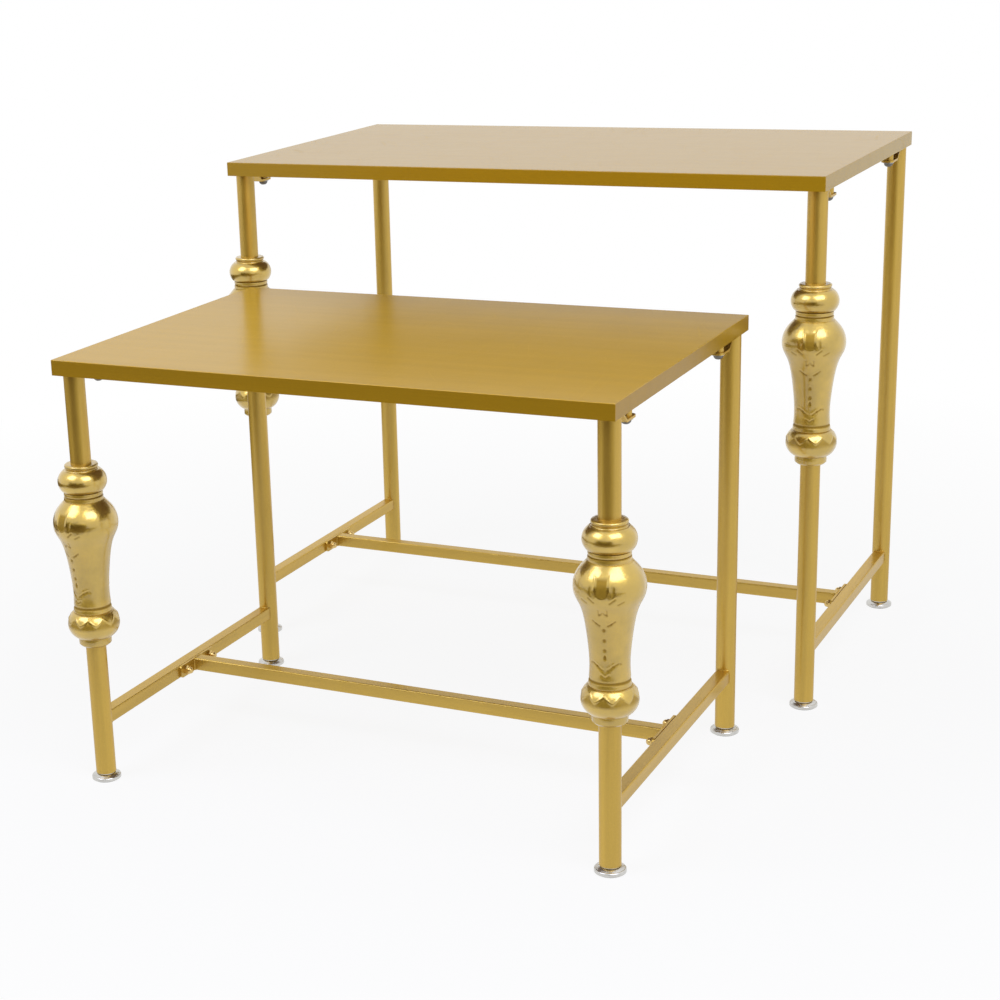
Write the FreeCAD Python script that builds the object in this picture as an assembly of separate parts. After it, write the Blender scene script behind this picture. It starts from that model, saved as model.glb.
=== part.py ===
import FreeCAD, Part

import os
from dataclasses import dataclass
from math import cos, pi, sin, sqrt

from FreeCAD import Vector

# A pair of free-standing display tables that make two tiers: a tall one behind and a
# small one in front, which slides in under it.  Each has a flat steel-faced top, four
# round tube legs on levelling feet, cast baluster ornaments on its two front legs, a
# square rail down each side and a long stretcher screwed between the two rails.
#
# Millimetres.  +Z up, +X to the right, +Y to the back.  The origin is on the floor, at
# the middle of the pair's overall width and depth.

# ---- driving dimensions ----

TALL_WIDTH = 900.0
TALL_DEPTH = 505.0
TALL_HEIGHT = 750.0
SMALL_WIDTH = 750.0
SMALL_DEPTH = 505.0
SMALL_HEIGHT = 580.0
TIER_GAP = 80.0                 # clear floor between the small top and the tall top

PANEL_THICKNESS = 20.0          # a folded steel tray, filled with board
TRAY_SHEET = 1.2
TRAY_EDGE_RADIUS = 1.0

LEG_RADIUS = 13.45              # the outside of three-quarter-inch pipe
LEG_WALL = 1.5
LEG_SIDE_INSET = 16.0           # leg axis in from the top's side edge
LEG_END_INSET = 25.0            # leg axis in from the top's front or back edge
LEG_CAP_LENGTH = 8.0

RAIL_SIZE = 18.0                # square tube of the side rails and the stretcher
RAIL_WALL = 1.5
RAIL_CORNER_RADIUS = 2.0
RAIL_HEIGHT = 86.0              # floor to the tube's centre line

END_PLATE_LENGTH = 90.0         # stretcher's end plate, along the side rail
END_PLATE_THICKNESS = 3.0
END_PLATE_CORNER_RADIUS = 5.0
END_PLATE_SCREW_SPACING = 64.0

LUG_WIDTH = 18.0                # strap that holds the top to a leg
LUG_THICKNESS = 3.0
LUG_SCREW_REACH = 54.0          # leg axis to the strap's screw
LUG_END_MARGIN = 12.0           # screw axis to the strap's tip
LUG_TIP_RADIUS = 6.0
LUG_ROOT_DROP = 2.0             # below the top's underside, at the leg
LUG_PAD_DROP = 13.0             # below the top's underside, at the screw
LUG_ROOT_LENGTH = 8.0           # straight strap past the leg's surface, before it slopes
LUG_SLOPE_LENGTH = 13.0
SPACER_RADIUS = 7.0

SCREW_RADIUS = 3.0              # M6
SCREW_HEAD_RADIUS = 6.5
SCREW_HEAD_HEIGHT = 5.5
SCREW_CROWN_SHARE = 0.45        # flat top of the dome, of the head's radius
SCREW_DOME_SHARE = (0.86, 0.62)  # a point of the dome, of the head's radius and height
SCREW_SOCKET_ACROSS_FLATS = 4.0
SCREW_SOCKET_DEPTH = 2.6
SCREW_END_PLAY = 1.0            # screw's tip past the nut, or short of the insert's floor
CAP_ACROSS_FLATS = 11.0         # capped hexagon head of the stretcher's screws
CAP_HEX_HEIGHT = 5.0
CAP_HEIGHT = 11.5
CAP_DOME_SHARE = 0.9            # dome's width, of the hexagon's across its flats
WASHER_RADIUS = 8.0
WASHER_THICKNESS = 1.5
NUT_ACROSS_FLATS = 10.0
NUT_THICKNESS = 5.0
INSERT_RADIUS = 4.6
INSERT_LENGTH = 13.0
INSERT_FLOOR = 1.5

GRUB_RADIUS = 2.5               # M5
GRUB_SOCKET_ACROSS_FLATS = 2.5
GRUB_SOCKET_DEPTH = 2.5
GRUB_SINK = 0.6                 # below the ornament's end ring

FOOT_RADIUS = 19.5
FOOT_HEIGHT = 10.0              # floor to the leg's lower end, with the foot screwed in
FOOT_NECK_RADIUS = 12.0
FOOT_NECK_HEIGHT = 1.4
FOOT_EDGE_HEIGHT = 4.0          # where the rounded rim meets its straight side
FOOT_EDGE_RADIUS = 2.0
FOOT_DOME_SHARE = 0.6           # height of the dome's middle, from its rim to its neck
FOOT_SKIRT_LIFT = 1.2           # cup's lower edge above the floor
PAD_RADIUS = 17.6
PAD_THICKNESS = 3.2
STUD_RADIUS = 4.0               # M8
STUD_LENGTH = 32.0              # above the foot's neck
BUSH_LENGTH = 18.0

TALL_ORNAMENT_DROP = 125.0      # top's underside to the ornament's upper end
SMALL_ORNAMENT_DROP = 120.0
ORNAMENT_WALL = 4.0
LIP_RADIUS = 21.8
LIP_HEIGHT = 4.4
COLLAR_RADIUS = 20.4            # the cove between the lip and the upper bulb
COLLAR_HEIGHT = 3.2
UPPER_BULB_TOP_RADIUS = 24.4
UPPER_BULB_RADIUS = 31.8
UPPER_BULB_FOOT_RADIUS = 27.4
UPPER_BULB_HEIGHT = 27.0
GROOVE_WIDTH = 2.0
GROOVE_DEPTH = 2.0
NECK_RING_RADIUS = 25.2
NECK_RING_HEIGHT = 4.6
NECK_BAND_RADIUS = 25.5
NECK_BAND_HEIGHT = 5.4
VASE_MOUTH_RADIUS = 26.8
VASE_UPPER_RADIUS = 37.4
VASE_SHOULDER_RADIUS = 42.2
VASE_SHOULDER_END_RADIUS = 41.0
VASE_HAUNCH_RADIUS = 35.2
VASE_BODY_RADIUS = 29.6
VASE_TAPER_RADIUS = 26.3
VASE_WAIST_RADIUS = 23.8
VASE_HEM_RADIUS = 25.4
VASE_UPPER_FALL = 12.7          # falls are measured down from the vase's mouth
VASE_SHOULDER_FALL = 28.4
VASE_SHOULDER_END_FALL = 39.1
VASE_HAUNCH_FALL = 51.7
VASE_BODY_FALL = 70.5
VASE_TAPER_FALL = 92.3
VASE_WAIST_FALL = 131.9
VASE_HEIGHT = 150.3
LOWER_BULB_TOP_RADIUS = 27.2
LOWER_BULB_RADIUS = 33.7
LOWER_BULB_FOOT_RADIUS = 23.1
LOWER_BULB_HEIGHT = 34.5
LOWER_BULB_CROWN_SHARE = 0.60   # where it is widest, of its height from the top
END_RING_RADIUS = 21.3
END_RING_HEIGHT = 11.5
END_RING_CHAMFER = 2.5

# ---- fits ----

RUNNING_FIT = 0.05              # radial, a foot's stud in its bush
THREAD_FIT = 0.02               # radial, a fixed screw in its thread
SCREW_HOLE_FIT = 0.3            # radial, a screw through a plain hole
PLUG_FIT = 0.02                 # radial, a plug or insert pressed home
SLEEVE_FIT = 0.05               # radial, an ornament over its leg
PAD_FIT = 0.05                  # radial, a pad in its foot's cup

# ---- places that follow from the sizes ----

COLLAR_TOTAL = LIP_HEIGHT + COLLAR_HEIGHT
UPPER_BULB_END = COLLAR_TOTAL + UPPER_BULB_HEIGHT
VASE_MOUTH_DEPTH = UPPER_BULB_END + 2.0 * GROOVE_WIDTH + NECK_RING_HEIGHT + NECK_BAND_HEIGHT
LOWER_BULB_DEPTH = VASE_MOUTH_DEPTH + VASE_HEIGHT + GROOVE_WIDTH
END_RING_DEPTH = LOWER_BULB_DEPTH + LOWER_BULB_HEIGHT
ORNAMENT_LENGTH = END_RING_DEPTH + END_RING_HEIGHT
UPPER_JOINT_DEPTH = UPPER_BULB_END + GROOVE_WIDTH / 2.0
LOWER_JOINT_DEPTH = LOWER_BULB_DEPTH - GROOVE_WIDTH / 2.0
ORNAMENT_REACH = max(UPPER_BULB_RADIUS, VASE_SHOULDER_RADIUS, LOWER_BULB_RADIUS)
LEG_BORE_RADIUS = LEG_RADIUS - LEG_WALL
LEAST_FILLET = 0.25             # least share of a wall that an inner corner is rounded by
MOST_FILLET = 0.45              # most of a bar's thickness that its corners are rounded by
MOST_TRAY_FILLET = 0.9          # most of the tray's sheet that its edges are rounded by

UP = Vector(0.0, 0.0, 1.0)
RIGHT = Vector(1.0, 0.0, 0.0)
BACK = Vector(0.0, 1.0, 0.0)


@dataclass(frozen=True)
class Corner:
    """One leg's corner: which side and which end of the table it stands at."""

    name: str
    side: int                   # -1 left, +1 right
    end: int                    # -1 front, +1 back


CORNERS = (
    Corner("front_left", -1, -1),
    Corner("front_right", 1, -1),
    Corner("back_left", -1, 1),
    Corner("back_right", 1, 1),
)
SIDES = {"left": -1, "right": 1}


@dataclass(frozen=True)
class Table:
    """One table of the pair: its overall size, its middle and how low its ornaments sit."""

    name: str
    width: float
    depth: float
    height: float
    centre_y: float
    ornament_drop: float

    @property
    def leg_x(self):
        return self.width / 2.0 - LEG_SIDE_INSET

    @property
    def leg_y(self):
        return self.depth / 2.0 - LEG_END_INSET

    @property
    def underside(self):
        return self.height - PANEL_THICKNESS

    @property
    def rail_face_x(self):
        """Inner face of a side rail, from the middle of the table."""
        return self.leg_x - RAIL_SIZE / 2.0

    def leg_axis(self, corner, height=0.0):
        return Vector(corner.side * self.leg_x, self.centre_y + corner.end * self.leg_y, height)

    def lug_axis(self, corner, height=0.0):
        """A lug reaches along the side rail's line, towards the leg at the other end."""
        reach = corner.end * (self.leg_y - LUG_SCREW_REACH)
        return Vector(corner.side * self.leg_x, self.centre_y + reach, height)

    def plate_screws(self, side):
        """Axes of an end plate's two screws, on the side rail's inner face."""
        face = side * self.rail_face_x
        half = END_PLATE_SCREW_SPACING / 2.0
        return [Vector(face, self.centre_y + offset, RAIL_HEIGHT) for offset in (-half, half)]


FRONT_REACH = max(SMALL_DEPTH / 2.0, SMALL_DEPTH / 2.0 - LEG_END_INSET + ORNAMENT_REACH)
BACK_REACH = TALL_DEPTH / 2.0
CENTRE_SPACING = SMALL_DEPTH / 2.0 + TIER_GAP + TALL_DEPTH / 2.0
SMALL_CENTRE_Y = (FRONT_REACH - BACK_REACH - CENTRE_SPACING) / 2.0
TALL_CENTRE_Y = SMALL_CENTRE_Y + CENTRE_SPACING

TABLES = (
    Table("tall", TALL_WIDTH, TALL_DEPTH, TALL_HEIGHT, TALL_CENTRE_Y, TALL_ORNAMENT_DROP),
    Table("small", SMALL_WIDTH, SMALL_DEPTH, SMALL_HEIGHT, SMALL_CENTRE_Y, SMALL_ORNAMENT_DROP),
)


# ---- plain shapes ----

def rod(radius, length, start, direction=UP):
    """Solid cylinder of the length given, from its start along a direction."""
    return Part.makeCylinder(radius, length, start, direction)


def ring(outer, inner, length, start, direction=UP):
    """Cylinder with a bore right through it."""
    return rod(outer, length, start, direction).cut(rod(inner, length, start, direction))


def block(size_x, size_y, size_z, centre_x, centre_y, bottom):
    """Box that stands on a height, centred on a point of the plan."""
    corner = Vector(centre_x - size_x / 2.0, centre_y - size_y / 2.0, bottom)
    return Part.makeBox(size_x, size_y, size_z, corner)


def aligned(shape, place, direction):
    """Turns a shape built up +Z from the origin along a direction, then moves it."""
    turned = shape.copy()
    turned.Placement = FreeCAD.Placement(place, FreeCAD.Rotation(UP, direction))
    return turned


def hexagon_bar(across_flats, length):
    """Six-sided bar that stands on the origin."""
    radius = across_flats / 2.0 / cos(pi / 6.0)
    corners = [
        Vector(radius * cos(step * pi / 3.0), radius * sin(step * pi / 3.0), 0.0)
        for step in range(6)
    ]
    return Part.Face(Part.makePolygon(corners + corners[:1])).extrude(Vector(0.0, 0.0, length))


def lathe(edges):
    """Closed profile of edges in the XZ plane, turned round the Z axis."""
    return Part.Face(Part.Wire(edges)).revolve(Vector(0.0, 0.0, 0.0), UP, 360.0)


def lines(points):
    """Straight edges through (radius, height) points."""
    places = [Vector(radius, 0.0, height) for radius, height in points]
    return [Part.makeLine(first, second) for first, second in zip(places, places[1:])]


def arc(first, middle, last):
    """Edge of a circular arc through three (radius, height) points."""
    places = [Vector(radius, 0.0, height) for radius, height in (first, middle, last)]
    return Part.Arc(*places).toShape()


def upright_edges(shape, near_x, near_y, reach):
    """The shape's vertical straight edges within reach of a point of the plan."""
    found = []
    for edge in shape.Edges:
        first, last = edge.Vertexes[0].Point, edge.Vertexes[-1].Point
        vertical = abs(first.x - last.x) + abs(first.y - last.y) < 1e-6
        if vertical and abs(first.x - near_x) < reach and abs(first.y - near_y) < reach:
            found.append(edge)
    return found


# ---- fasteners ----

def dome_screw(grip, seat, direction):
    """Dome-headed screw with a socket; its head sits on the seat, its shank runs on."""
    rim = (SCREW_HEAD_RADIUS, 0.0)
    crown = (SCREW_HEAD_RADIUS * SCREW_CROWN_SHARE, SCREW_HEAD_HEIGHT)
    share_out, share_up = SCREW_DOME_SHARE
    edges = lines([crown, (0.0, SCREW_HEAD_HEIGHT), (0.0, 0.0), rim])
    edges.append(arc(rim, (SCREW_HEAD_RADIUS * share_out, SCREW_HEAD_HEIGHT * share_up), crown))
    head = lathe(edges)
    socket = hexagon_bar(SCREW_SOCKET_ACROSS_FLATS, SCREW_SOCKET_DEPTH)
    socket.translate(Vector(0.0, 0.0, SCREW_HEAD_HEIGHT - SCREW_SOCKET_DEPTH))
    shank = rod(SCREW_RADIUS, grip, Vector(0.0, 0.0, -grip))
    return aligned(head.fuse(shank).removeSplitter().cut(socket), seat, direction * -1.0)


def cap_screw(grip, seat, direction):
    """Screw with a hexagon head and a round cap on it; the head sits on the seat."""
    radius = CAP_ACROSS_FLATS * CAP_DOME_SHARE / 2.0
    shoulder = CAP_HEIGHT - radius
    halfway = radius * sqrt(0.5)
    edges = lines([(0.0, CAP_HEIGHT), (0.0, 0.0), (radius, 0.0), (radius, shoulder)])
    edges.append(arc((radius, shoulder), (halfway, shoulder + halfway), (0.0, CAP_HEIGHT)))
    head = lathe(edges).fuse(hexagon_bar(CAP_ACROSS_FLATS, CAP_HEX_HEIGHT))
    shank = rod(SCREW_RADIUS, grip, Vector(0.0, 0.0, -grip))
    return aligned(head.fuse(shank).removeSplitter(), seat, direction * -1.0)


def hex_nut(seat, direction):
    """Hexagon nut, welded where its face meets the seat."""
    nut = hexagon_bar(NUT_ACROSS_FLATS, NUT_THICKNESS)
    nut = nut.cut(rod(SCREW_RADIUS + THREAD_FIT, NUT_THICKNESS, Vector()))
    return aligned(nut, seat, direction)


def grub_screw(length, start, direction):
    """Headless screw with a socket in its outer end."""
    body = rod(GRUB_RADIUS - THREAD_FIT, length, Vector())
    socket = hexagon_bar(GRUB_SOCKET_ACROSS_FLATS, GRUB_SOCKET_DEPTH)
    socket.translate(Vector(0.0, 0.0, length - GRUB_SOCKET_DEPTH))
    return aligned(body.cut(socket), start, direction)


# ---- top ----

def top_panel(table):
    """Steel sheet folded down on all four sides into a shallow tray."""
    tray = block(table.width, table.depth, PANEL_THICKNESS, 0.0, table.centre_y, table.underside)
    rounded = [edge for edge in tray.Edges if edge.CenterOfMass.z > table.underside + TRAY_SHEET]
    tray = tray.makeFillet(min(TRAY_EDGE_RADIUS, MOST_TRAY_FILLET * TRAY_SHEET), rounded)
    return tray.cut(block(
        table.width - 2.0 * TRAY_SHEET,
        table.depth - 2.0 * TRAY_SHEET,
        PANEL_THICKNESS - TRAY_SHEET,
        0.0,
        table.centre_y,
        table.underside,
    ))


def top_core(table):
    """Board that fills the tray, bored for the threaded inserts."""
    board = block(
        table.width - 2.0 * TRAY_SHEET,
        table.depth - 2.0 * TRAY_SHEET,
        PANEL_THICKNESS - TRAY_SHEET,
        0.0,
        table.centre_y,
        table.underside,
    )
    bores = [
        rod(INSERT_RADIUS + PLUG_FIT, INSERT_LENGTH, table.lug_axis(corner, table.underside))
        for corner in CORNERS
    ]
    return board.cut(Part.makeCompound(bores))


def panel_insert(table, corner):
    """Threaded insert pressed into the board, open downwards for a lug's screw."""
    seat = table.lug_axis(corner, table.underside)
    body = rod(INSERT_RADIUS, INSERT_LENGTH, seat)
    return body.cut(rod(SCREW_RADIUS + THREAD_FIT, INSERT_LENGTH - INSERT_FLOOR, seat))


# ---- legs and what is fixed to them ----

def leg(table, corner):
    """Round tube from just above the foot to the top's underside."""
    start = table.leg_axis(corner, FOOT_HEIGHT)
    return ring(LEG_RADIUS, LEG_BORE_RADIUS, table.underside - FOOT_HEIGHT, start)


def leg_top_cap(table, corner):
    """Plug that closes the leg's upper end, flush under the top."""
    start = table.leg_axis(corner, table.underside - LEG_CAP_LENGTH)
    return rod(LEG_BORE_RADIUS - PLUG_FIT, LEG_CAP_LENGTH, start)


def foot_bush(table, corner):
    """Threaded plug in the leg's lower end that the foot's stud screws up into."""
    start = table.leg_axis(corner, FOOT_HEIGHT)
    return ring(LEG_BORE_RADIUS - PLUG_FIT, STUD_RADIUS + RUNNING_FIT, BUSH_LENGTH, start)


def leg_lug(table, corner):
    """Strap welded to the leg, cranked down to clear its spacer, with a rounded tip."""
    root_end = LEG_RADIUS + LUG_ROOT_LENGTH
    pad_start = root_end + LUG_SLOPE_LENGTH
    tip = LUG_SCREW_REACH + LUG_END_MARGIN
    upper = [
        (0.0, LUG_ROOT_DROP),
        (root_end, LUG_ROOT_DROP),
        (pad_start, LUG_PAD_DROP),
        (tip, LUG_PAD_DROP),
    ]
    lower = [(reach, drop + LUG_THICKNESS) for reach, drop in reversed(upper)]
    axis = table.leg_axis(corner, table.underside)
    outline = [
        Vector(axis.x - LUG_WIDTH / 2.0, axis.y - corner.end * reach, axis.z - drop)
        for reach, drop in upper + lower
    ]
    strap = Part.Face(Part.makePolygon(outline + outline[:1])).extrude(RIGHT * LUG_WIDTH)
    corners = upright_edges(strap, axis.x, axis.y - corner.end * tip, LUG_WIDTH)
    strap = strap.makeFillet(min(LUG_TIP_RADIUS, MOST_FILLET * LUG_WIDTH), corners)
    strap = strap.cut(rod(LEG_RADIUS, table.underside, table.leg_axis(corner)))
    hole = rod(SCREW_RADIUS + SCREW_HOLE_FIT, table.underside, table.lug_axis(corner))
    return strap.cut(hole)


def lug_spacer(table, corner):
    """Sleeve between the strap and the top's underside."""
    start = table.lug_axis(corner, table.underside - LUG_PAD_DROP)
    return ring(SPACER_RADIUS, SCREW_RADIUS + SCREW_HOLE_FIT, LUG_PAD_DROP, start)


def lug_washer(table, corner):
    """Washer between the strap and the screw's head."""
    stack = LUG_PAD_DROP + LUG_THICKNESS + WASHER_THICKNESS
    start = table.lug_axis(corner, table.underside - stack)
    return ring(WASHER_RADIUS, SCREW_RADIUS + SCREW_HOLE_FIT, WASHER_THICKNESS, start)


def lug_screw(table, corner):
    """Screw up through washer, strap and spacer into the top's insert."""
    stack = LUG_PAD_DROP + LUG_THICKNESS + WASHER_THICKNESS
    grip = stack + INSERT_LENGTH - INSERT_FLOOR - SCREW_END_PLAY
    return dome_screw(grip, table.lug_axis(corner, table.underside - stack), UP)


# ---- cast ornament ----

def vase_stations():
    """The vase's (radius, depth) stations below the ornament's upper end."""
    falls = (
        (VASE_MOUTH_RADIUS, 0.0),
        (VASE_UPPER_RADIUS, VASE_UPPER_FALL),
        (VASE_SHOULDER_RADIUS, VASE_SHOULDER_FALL),
        (VASE_SHOULDER_END_RADIUS, VASE_SHOULDER_END_FALL),
        (VASE_HAUNCH_RADIUS, VASE_HAUNCH_FALL),
        (VASE_BODY_RADIUS, VASE_BODY_FALL),
        (VASE_TAPER_RADIUS, VASE_TAPER_FALL),
        (VASE_WAIST_RADIUS, VASE_WAIST_FALL),
        (VASE_HEM_RADIUS, VASE_HEIGHT),
    )
    return [(radius, VASE_MOUTH_DEPTH + fall) for radius, fall in falls]


def curve(stations):
    """Smooth edge through (radius, depth) stations, depths being downwards."""
    spline = Part.BSplineCurve()
    spline.interpolate([Vector(radius, 0.0, -depth) for radius, depth in stations])
    return spline.toShape()


def down(points):
    """(radius, depth) points as (radius, height)."""
    return [(radius, -depth) for radius, depth in points]


def ornament_skin():
    """Outline from the bore over lip, collar, bulb, neck, vase, bulb and ring, and back up."""
    ring_top = UPPER_BULB_END + GROOVE_WIDTH
    ring_end = ring_top + NECK_RING_HEIGHT
    bore = LEG_RADIUS + SLEEVE_FIT
    vase = vase_stations()
    edges = lines(down([
        (bore, 0.0),
        (LIP_RADIUS, 0.0),
        (LIP_RADIUS, LIP_HEIGHT),
        (COLLAR_RADIUS, LIP_HEIGHT),
        (COLLAR_RADIUS, COLLAR_TOTAL),
        (UPPER_BULB_TOP_RADIUS, COLLAR_TOTAL),
    ]))
    edges.append(arc(*down([
        (UPPER_BULB_TOP_RADIUS, COLLAR_TOTAL),
        (UPPER_BULB_RADIUS, COLLAR_TOTAL + UPPER_BULB_HEIGHT / 2.0),
        (UPPER_BULB_FOOT_RADIUS, UPPER_BULB_END),
    ])))
    edges += lines(down([
        (UPPER_BULB_FOOT_RADIUS, UPPER_BULB_END),
        (NECK_RING_RADIUS - GROOVE_DEPTH, UPPER_JOINT_DEPTH),
        (NECK_RING_RADIUS, ring_top),
        (NECK_RING_RADIUS, ring_end),
        (NECK_RING_RADIUS - GROOVE_DEPTH, ring_end + GROOVE_WIDTH / 2.0),
        (NECK_BAND_RADIUS, ring_end + GROOVE_WIDTH),
        (NECK_BAND_RADIUS, VASE_MOUTH_DEPTH),
        (VASE_MOUTH_RADIUS, VASE_MOUTH_DEPTH),
    ]))
    edges.append(curve(vase))
    edges += lines(down([
        vase[-1],
        (VASE_HEM_RADIUS - GROOVE_DEPTH, LOWER_JOINT_DEPTH),
        (LOWER_BULB_TOP_RADIUS, LOWER_BULB_DEPTH),
    ]))
    edges.append(arc(*down([
        (LOWER_BULB_TOP_RADIUS, LOWER_BULB_DEPTH),
        (LOWER_BULB_RADIUS, LOWER_BULB_DEPTH + LOWER_BULB_HEIGHT * LOWER_BULB_CROWN_SHARE),
        (LOWER_BULB_FOOT_RADIUS, END_RING_DEPTH),
    ])))
    edges += lines(down([
        (LOWER_BULB_FOOT_RADIUS, END_RING_DEPTH),
        (END_RING_RADIUS, END_RING_DEPTH),
        (END_RING_RADIUS, ORNAMENT_LENGTH - END_RING_CHAMFER),
        (END_RING_RADIUS - END_RING_CHAMFER, ORNAMENT_LENGTH),
        (bore, ORNAMENT_LENGTH),
        (bore, 0.0),
    ]))
    return edges


def casting_cavity(skin):
    """Hollow that keeps a wall inside (radius, depth) points of a casting's skin."""
    least = LEG_RADIUS + SLEEVE_FIT
    hollow = [(max(radius - ORNAMENT_WALL, least), depth) for radius, depth in skin]
    top, bottom = hollow[0][1], hollow[-1][1]
    inner = LEG_RADIUS / 2.0
    return lathe(lines(down([(inner, top), *hollow, (inner, bottom), (inner, top)])))


def ornament_castings():
    """Skin and end depths of the three castings that stack on the leg, from the top."""
    bulb = [
        (UPPER_BULB_TOP_RADIUS, COLLAR_TOTAL + ORNAMENT_WALL),
        (UPPER_BULB_RADIUS, COLLAR_TOTAL + UPPER_BULB_HEIGHT / 2.0),
        (UPPER_BULB_FOOT_RADIUS - GROOVE_DEPTH, UPPER_JOINT_DEPTH - ORNAMENT_WALL),
    ]
    vase = [
        (NECK_RING_RADIUS - GROOVE_DEPTH, UPPER_JOINT_DEPTH + ORNAMENT_WALL),
        (NECK_RING_RADIUS - GROOVE_DEPTH, VASE_MOUTH_DEPTH),
        *vase_stations()[1:-1],
        (VASE_WAIST_RADIUS, LOWER_JOINT_DEPTH - ORNAMENT_WALL),
    ]
    lower = [
        (LOWER_BULB_TOP_RADIUS - GROOVE_DEPTH, LOWER_JOINT_DEPTH + ORNAMENT_WALL),
        (LOWER_BULB_RADIUS, LOWER_BULB_DEPTH + LOWER_BULB_HEIGHT * LOWER_BULB_CROWN_SHARE),
        (LOWER_BULB_FOOT_RADIUS, END_RING_DEPTH - ORNAMENT_WALL),
    ]
    return [
        (bulb, 0.0, UPPER_JOINT_DEPTH),
        (vase, UPPER_JOINT_DEPTH, LOWER_JOINT_DEPTH),
        (lower, LOWER_JOINT_DEPTH, ORNAMENT_LENGTH),
    ]


def ornament(table, corner):
    """Baluster over the leg: bulb, vase and bulb, each cast hollow and gripping the leg.

    The lowest is tapped in its end ring for the grub screw that carries all three.
    """
    whole = lathe(ornament_skin())
    across = 3.0 * ORNAMENT_REACH
    place = table.leg_axis(corner, table.underside - table.ornament_drop)
    inward = RIGHT * -corner.side
    tapping_start = grub_start(table, corner) - inward * GRUB_RADIUS
    tapping = rod(GRUB_RADIUS, END_RING_RADIUS, tapping_start, inward)
    castings = []
    for skin, top, bottom in ornament_castings():
        casting = whole.common(block(across, across, bottom - top, 0.0, 0.0, -bottom))
        casting = casting.cut(casting_cavity(skin))
        casting.translate(place)
        castings += casting.cut(tapping).Solids
    return castings


def grub_start(table, corner):
    """Where a grub screw's inner end meets the leg, on the side that faces the table."""
    end = table.underside - table.ornament_drop - ORNAMENT_LENGTH
    axis = table.leg_axis(corner, end + (END_RING_HEIGHT + END_RING_CHAMFER) / 2.0)
    return axis + RIGHT * (-corner.side * LEG_RADIUS)


def ornament_grub(table, corner):
    """Grub screw through the end ring, its inner end on the leg."""
    length = END_RING_RADIUS - LEG_RADIUS - GRUB_SINK
    return grub_screw(length, grub_start(table, corner), RIGHT * -corner.side)


# ---- lower frame ----

def square_tube(length, start, direction):
    """Square tube with rounded corners, centred on a line from its start."""
    def bar(size, corner_radius):
        solid = block(size, size, length, 0.0, 0.0, 0.0)
        upright = [edge for edge in solid.Edges if abs(edge.tangentAt(edge.FirstParameter).z) > 0.5]
        return solid.makeFillet(corner_radius, upright)

    outer_radius = min(RAIL_CORNER_RADIUS, MOST_FILLET * RAIL_SIZE)
    inner_radius = max(outer_radius - RAIL_WALL, LEAST_FILLET * RAIL_WALL)
    inner_size = RAIL_SIZE - 2.0 * RAIL_WALL
    return aligned(bar(RAIL_SIZE, outer_radius).cut(bar(inner_size, inner_radius)), start, direction)


def side_rail(table, side):
    """Square tube between the front and back leg, its ends coped round them."""
    start = Vector(side * table.leg_x, table.centre_y - table.leg_y, RAIL_HEIGHT)
    rail = square_tube(2.0 * table.leg_y, start, BACK)
    for corner in CORNERS:
        rail = rail.cut(rod(LEG_RADIUS, 2.0 * RAIL_HEIGHT, table.leg_axis(corner)))
    for seat in table.plate_screws(side):
        hole = rod(SCREW_RADIUS + SCREW_HOLE_FIT, RAIL_WALL, seat, RIGHT * side)
        rail = rail.cut(hole)
    return rail


def end_plate(table, side):
    """Plate across the stretcher's end that lies on the side rail's inner face."""
    height = RAIL_SIZE
    bottom = RAIL_HEIGHT - height / 2.0
    middle = side * (table.rail_face_x - END_PLATE_THICKNESS / 2.0)
    plate = block(END_PLATE_THICKNESS, END_PLATE_LENGTH, height, middle, table.centre_y, bottom)
    cross = [edge for edge in plate.Edges if abs(edge.tangentAt(edge.FirstParameter).x) > 0.5]
    plate = plate.makeFillet(min(END_PLATE_CORNER_RADIUS, MOST_FILLET * height), cross)
    for seat in table.plate_screws(side):
        plate = plate.cut(rod(SCREW_RADIUS + SCREW_HOLE_FIT, END_PLATE_THICKNESS, seat, RIGHT * -side))
    return plate


def cross_stretcher(table):
    """Long square tube between the two end plates."""
    half = table.rail_face_x - END_PLATE_THICKNESS
    return square_tube(2.0 * half, Vector(-half, table.centre_y, RAIL_HEIGHT), RIGHT)


def stretcher_screws(table, side):
    """Two capped screws through the end plate and the rail's wall into the nuts behind."""
    grip = END_PLATE_THICKNESS + RAIL_WALL + NUT_THICKNESS + SCREW_END_PLAY
    outward = RIGHT * side
    return [
        cap_screw(grip, seat - outward * END_PLATE_THICKNESS, outward)
        for seat in table.plate_screws(side)
    ]


def rail_nuts(table, side):
    """Two nuts welded inside the rail's inner wall."""
    outward = RIGHT * side
    return [hex_nut(seat + outward * RAIL_WALL, outward) for seat in table.plate_screws(side)]


# ---- levelling feet ----

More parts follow.
